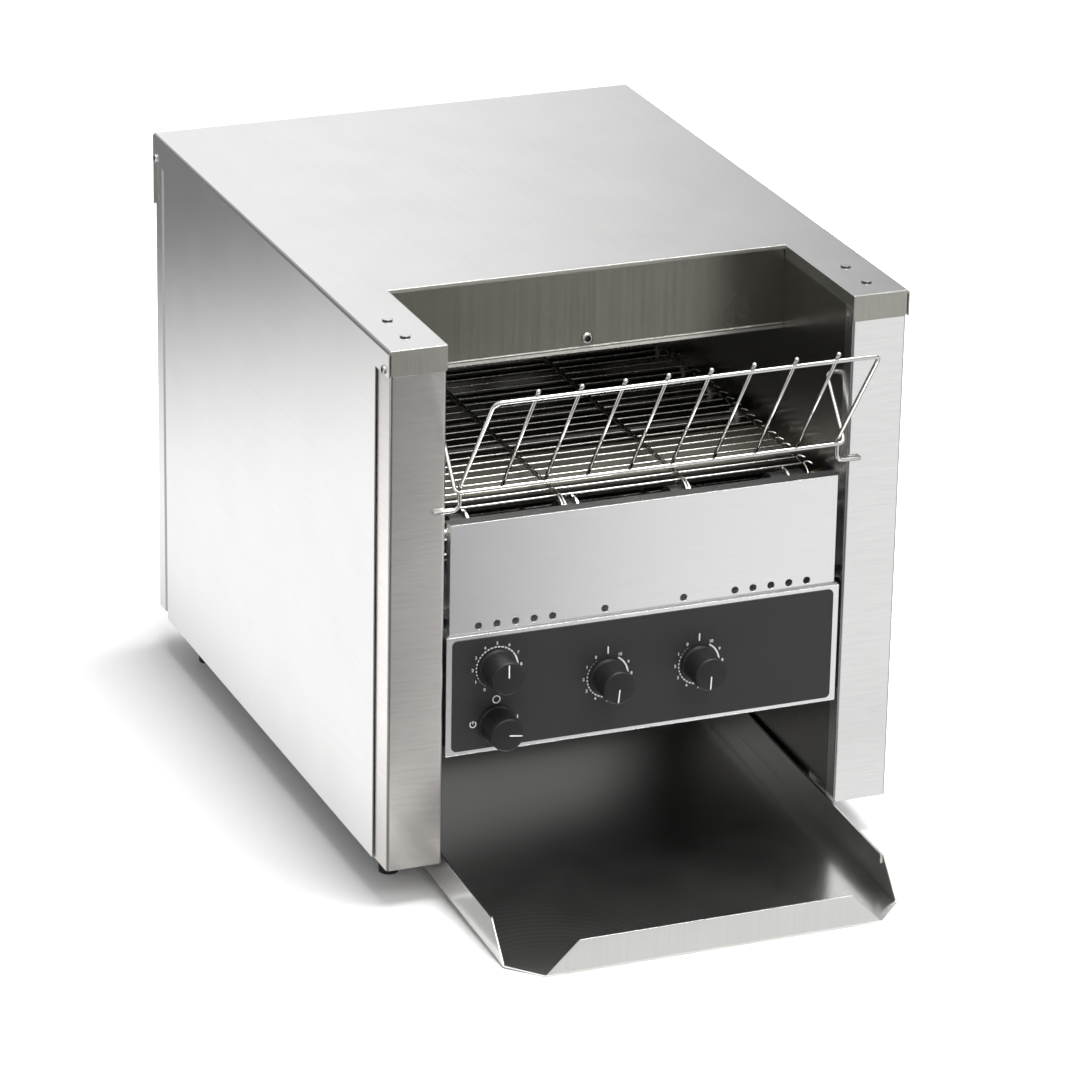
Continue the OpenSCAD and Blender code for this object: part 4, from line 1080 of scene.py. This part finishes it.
def shadeRecess(mesh):
    # the recess faces wear a dark painted shade
    mesh.materials.append(finishes["recessShadeSteel"])
    bands = len(screws["profile"]) - 1
    for i, face in enumerate(mesh.polygons):
        if i // screws["facets"] % bands >= bands - screws["recessBands"]:
            face.material_index = 1


def turnedPiece(name, places, profile, lobes, finish, node):
    bm = bmesh.new()
    for place in places:
        turnedPart(bm, profile, place, screws["facets"], lobes)
    mesh = finishMesh(bm, name)
    piece = addPiece(name, mesh, finish, "root")
    markSharp(mesh, screws["sharp"])
    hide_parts(node)
    return mesh


def makeFasteners():
    shape, lobes, grown = screws["profile"], screws["lobes"], screws["hoodScale"]
    places = [onSide(side, y, z) for side in (-1, 1) for y, z in screws["sides"]]
    shadeRecess(turnedPiece("sideScrews", places, shape, lobes, "screwSteel", "cover_screws"))
    place = onFront(*screws["hood"]) @ Matrix.Diagonal((grown, grown, 1, 1))
    shadeRecess(turnedPiece("hoodScrewHead", [place], shape, lobes, "screwSteel", "hood_screw"))
    places = [onTop(x, y) for x in (-buttons["x"], buttons["x"]) for y in buttons["ys"]]
    turnedPiece("armRivets", places, buttons["profile"], 0, "buttonSteel", "arm_buttons")
    print("screws and buttons made")


makeFasteners()


# stage: a pale floor, a soft sky that is dim low down, and cards that only reflections see

stageLook = {
    "floorSize": 14.0,
    "floorTint": grey(0.93),
    "floorGrain": (40, 40, 40),
    "floorShade": 0.005,
    "floorRough": 0.9,
    "floorShine": 0.1,
    "skyBright": 1.0,
    "skyDim": 0.30,
    "rise": (0.10, 0.52),
    "window": (0.02, 0.26),  # a bright part at the right
    "windowRear": (0.2, 0.6),  # and behind
    "windowTone": 0.72,
    "diffuseShare": 0.55,
    "behind": 0.97,  # what the camera itself sees beyond the floor
    "fade": (1.7, 3.2),  # where the floor turns into it
}


def softSky(look):
    world = bpy.data.worlds.new("studio")
    bpy.context.scene.world = world
    world.use_nodes = True
    tree = world.node_tree
    background = tree.nodes["Background"]
    background.inputs["Color"].default_value = (1, 1, 1, 1)
    way = addNode(tree, "ShaderNodeTexCoord").outputs["Generated"]
    axes = addNode(tree, "ShaderNodeSeparateXYZ", [("Vector", way)]).outputs
    lift = spread(tree, axes["Z"], 0, 1, *look["rise"], "SMOOTHSTEP")
    rightwards = spread(tree, axes["X"], 0, 1, *look["window"], "SMOOTHSTEP")
    backwards = spread(tree, axes["Y"], 0, 1, *look["windowRear"], "SMOOTHSTEP")
    window = combine(tree, "MULTIPLY", combine(tree, "MULTIPLY", rightwards, backwards), look["windowTone"])
    light = combine(tree, "MAXIMUM", lift, window)
    strength = spread(tree, light, look["skyDim"], look["skyBright"], 0, 1)
    path = addNode(tree, "ShaderNodeLightPath")
    softer = spread(tree, path.outputs["Is Diffuse Ray"], 1, look["diffuseShare"], 0, 1)
    lit = combine(tree, "MULTIPLY", strength, softer)
    seen = combine(tree, "MULTIPLY", path.outputs["Is Camera Ray"], look["behind"])
    tree.links.new(combine(tree, "MAXIMUM", lit, seen), background.inputs["Strength"])


def glowing(tree, strength):
    glow = addNode(tree, "ShaderNodeEmission")
    glow.inputs["Color"].default_value = (1, 1, 1, 1)
    if isinstance(strength, float):
        glow.inputs["Strength"].default_value = strength
    else:
        tree.links.new(strength, glow.inputs["Strength"])
    return glow.outputs["Emission"]


def floorPaper(look):
    material, tree, shader = blankMaterial("floorPaper")
    grain = stretchedNoise(tree, look["floorGrain"])
    tint = look["floorTint"]
    colour = blendColours(tree, grain, darkened(tint, look["floorShade"]), tint)
    tree.links.new(colour, shader.inputs["Base Color"])
    shader.inputs["Roughness"].default_value = look["floorRough"]
    shader.inputs["Specular IOR Level"].default_value = look["floorShine"]
    away = vectorMath(tree, "LENGTH", [(0, objectPlace(tree))]).outputs["Value"]
    seen = addNode(tree, "ShaderNodeLightPath").outputs["Is Camera Ray"]
    far = combine(tree, "MULTIPLY", spread(tree, away, 0, 1, *look["fade"], "SMOOTHSTEP"), seen)
    parts = [(0, far), (1, shader.outputs["BSDF"]), (2, glowing(tree, look["behind"]))]
    both = addNode(tree, "ShaderNodeMixShader", parts)
    tree.links.new(both.outputs["Shader"], tree.nodes["Material Output"].inputs["Surface"])
    return material


def stageSheet(name, corners, material):
    mesh = bpy.data.meshes.new(name)
    mesh.from_pydata(corners, [], [(0, 1, 2, 3)])
    sheet = bpy.data.objects.new(name, mesh)
    bpy.context.scene.collection.objects.link(sheet)
    mesh.materials.append(material)
    return sheet


def paleFloor(look):
    half = look["floorSize"] / 2
    corners = [(-half, -half, 0), (half, -half, 0), (half, half, 0), (-half, half, 0)]
    stageSheet("floor", corners, floorPaper(look))


softSky(stageLook)
paleFloor(stageLook)

cardZ = 0.0002  # the floor cards lie under everything that stands on the floor
besideCase, behindCase, besideTray = 0.237, 0.41, 0.19
cardFront, cardRear, cardSide, cardNear = -0.233, 3.6, 2.6, -2.6
nearLeft, nearRight = -1.2, 1.8
cardSeam = 0.001
lipGap = 0.0005
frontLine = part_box("toast_tray")[0].y - lipGap
sideRamp = {"along": (0, 1, 0), "ramp": (0.72, 1.63)}
sideEdge = {"ramp": (0.24, 0.33), "tone": 0.80}
cards = {
    # low and high corner, the way the tone changes, where it starts and ends, and its two tones; an edge is
    # a strip of one darker tone beside the case, painted shade for the shadow that the cards themselves
    # don't get
    "leftCard": {
        "box": ((-cardSide, cardFront, cardZ), (-besideCase, cardRear, cardZ)),
        "tones": (1.12, 0.20), **sideRamp,
        "edge": {"along": (-1, 0, 0), **sideEdge},
    },
    "rightCard": {
        "box": ((besideCase, cardFront, cardZ), (cardSide, cardRear, cardZ)),
        "tones": (1.05, 0.25), **sideRamp,
        "edge": {"along": (1, 0, 0), **sideEdge},
    },
    "backCard": {
        "box": ((-besideCase, behindCase, cardZ), (besideCase, cardRear, cardZ)),
        "tones": (1.05, 0.25), **sideRamp,
    },
    "frontCard": {
        "box": ((nearLeft, cardNear, cardZ), (nearRight, frontLine, cardZ)),
        "tones": (0.20, 0.93), "along": (0.925, 0.379, 0), "ramp": (-0.43, 0.02),
        "edge": {"along": (0, -1, 0), "ramp": (0.42, 0.56), "tone": 0.84},
    },
    "frontRightCard": {
        "box": ((besideTray, frontLine, cardZ), (nearRight, cardFront - cardSeam, cardZ)),
        "tones": (0.92, 0.96), "along": (1, 0, 0), "ramp": (0.2, 0.6),
    },
    "frontLeftCard": {
        "box": ((nearLeft, frontLine, cardZ), (-besideTray, cardFront - cardSeam, cardZ)),
        "tones": (0.42, 0.50), "along": (1, 0, 0), "ramp": (-0.6, -0.2),
    },
    "backBoard": {
        "box": ((-0.2, 1.5, 0.5), (3.0, 1.5, 2.0)),
        "tones": (0.985, 0.16), "along": (1, 0, 0), "ramp": (0.20, 1.60),
    },
    "slideGlow": {  # stands in the tray's bay
        "box": ((-0.178, 0.12, 0.10), (0.178, 0.12, 0.27)),
        "tones": (0.16, 0.01), "along": (0.187, 0, 1), "ramp": (0.163, 0.213),
        "edge": {"along": (-1, 0, 0), "ramp": (-0.19, -0.09), "tone": 0.01},
    },
}


def rampAlong(tree, way, start, end, low, high):
    dot = vectorMath(tree, "DOT_PRODUCT", [(0, objectPlace(tree))])
    dot.inputs[1].default_value = way
    return spread(tree, dot.outputs["Value"], low, high, start, end, "SMOOTHSTEP")


def cardPaper(name, look):
    material, tree, shader = blankMaterial(name)
    tree.nodes.remove(shader)
    tone = rampAlong(tree, look["along"], *look["ramp"], *look["tones"])
    if "edge" in look:
        edge = look["edge"]
        inside = rampAlong(tree, edge["along"], *edge["ramp"], 0, 1)
        beyond = combine(tree, "MULTIPLY", combine(tree, "SUBTRACT", tone, edge["tone"]), inside)
        tone = combine(tree, "ADD", beyond, edge["tone"])
    tree.links.new(glowing(tree, tone), tree.nodes["Material Output"].inputs["Surface"])
    return material


def reflectionCard(name, look):
    # a sheet that lies flat, or stands where both its corners have one y
    (x0, y0, z0), (x1, y1, z1) = look["box"]
    low, high = (z0, z1) if y0 == y1 else (z0, z0)
    corners = [(x0, y0, low), (x1, y0, low), (x1, y1, high), (x0, y1, high)]
    card = stageSheet(name, corners, cardPaper(name, look))
    card.visible_camera = False
    card.visible_diffuse = False
    card.visible_shadow = False
    card.visible_transmission = False


for cardName, cardLook in cards.items():
    reflectionCard(cardName, cardLook)


lamps = {
    "topSoftbox": {"place": (0.65, -0.3, 4.0), "aim": (0, 0, 0.2), "size": (2.2, 2.2), "power": 225},
    "rightSoftbox": {"place": (2.4, 0.6, 2.6), "aim": (0, 0, 0.2), "size": (2.0, 2.0), "power": 30},
    "frontFill": {"place": (0.2, -3.0, 3.2), "aim": (0, -0.2, 0.2), "size": (2.6, 1.6), "power": 40},
}


def softLamp(name, look):
    data = bpy.data.lights.new(name, "AREA")
    data.shape = "RECTANGLE"
    data.size, data.size_y = look["size"]
    data.energy = look["power"]
    lamp = bpy.data.objects.new(name, data)
    bpy.context.scene.collection.objects.link(lamp)
    place = Vector(look["place"])
    lamp.matrix_world = Matrix.Translation(place) @ (
        (Vector(look["aim"]) - place).to_track_quat("-Z", "Y").to_matrix().to_4x4()
    )


for lampName, lampLook in lamps.items():
    softLamp(lampName, lampLook)

bpy.context.scene.view_settings.view_transform = "Standard"
bpy.context.scene.view_settings.exposure = 0.0
print("stage set")
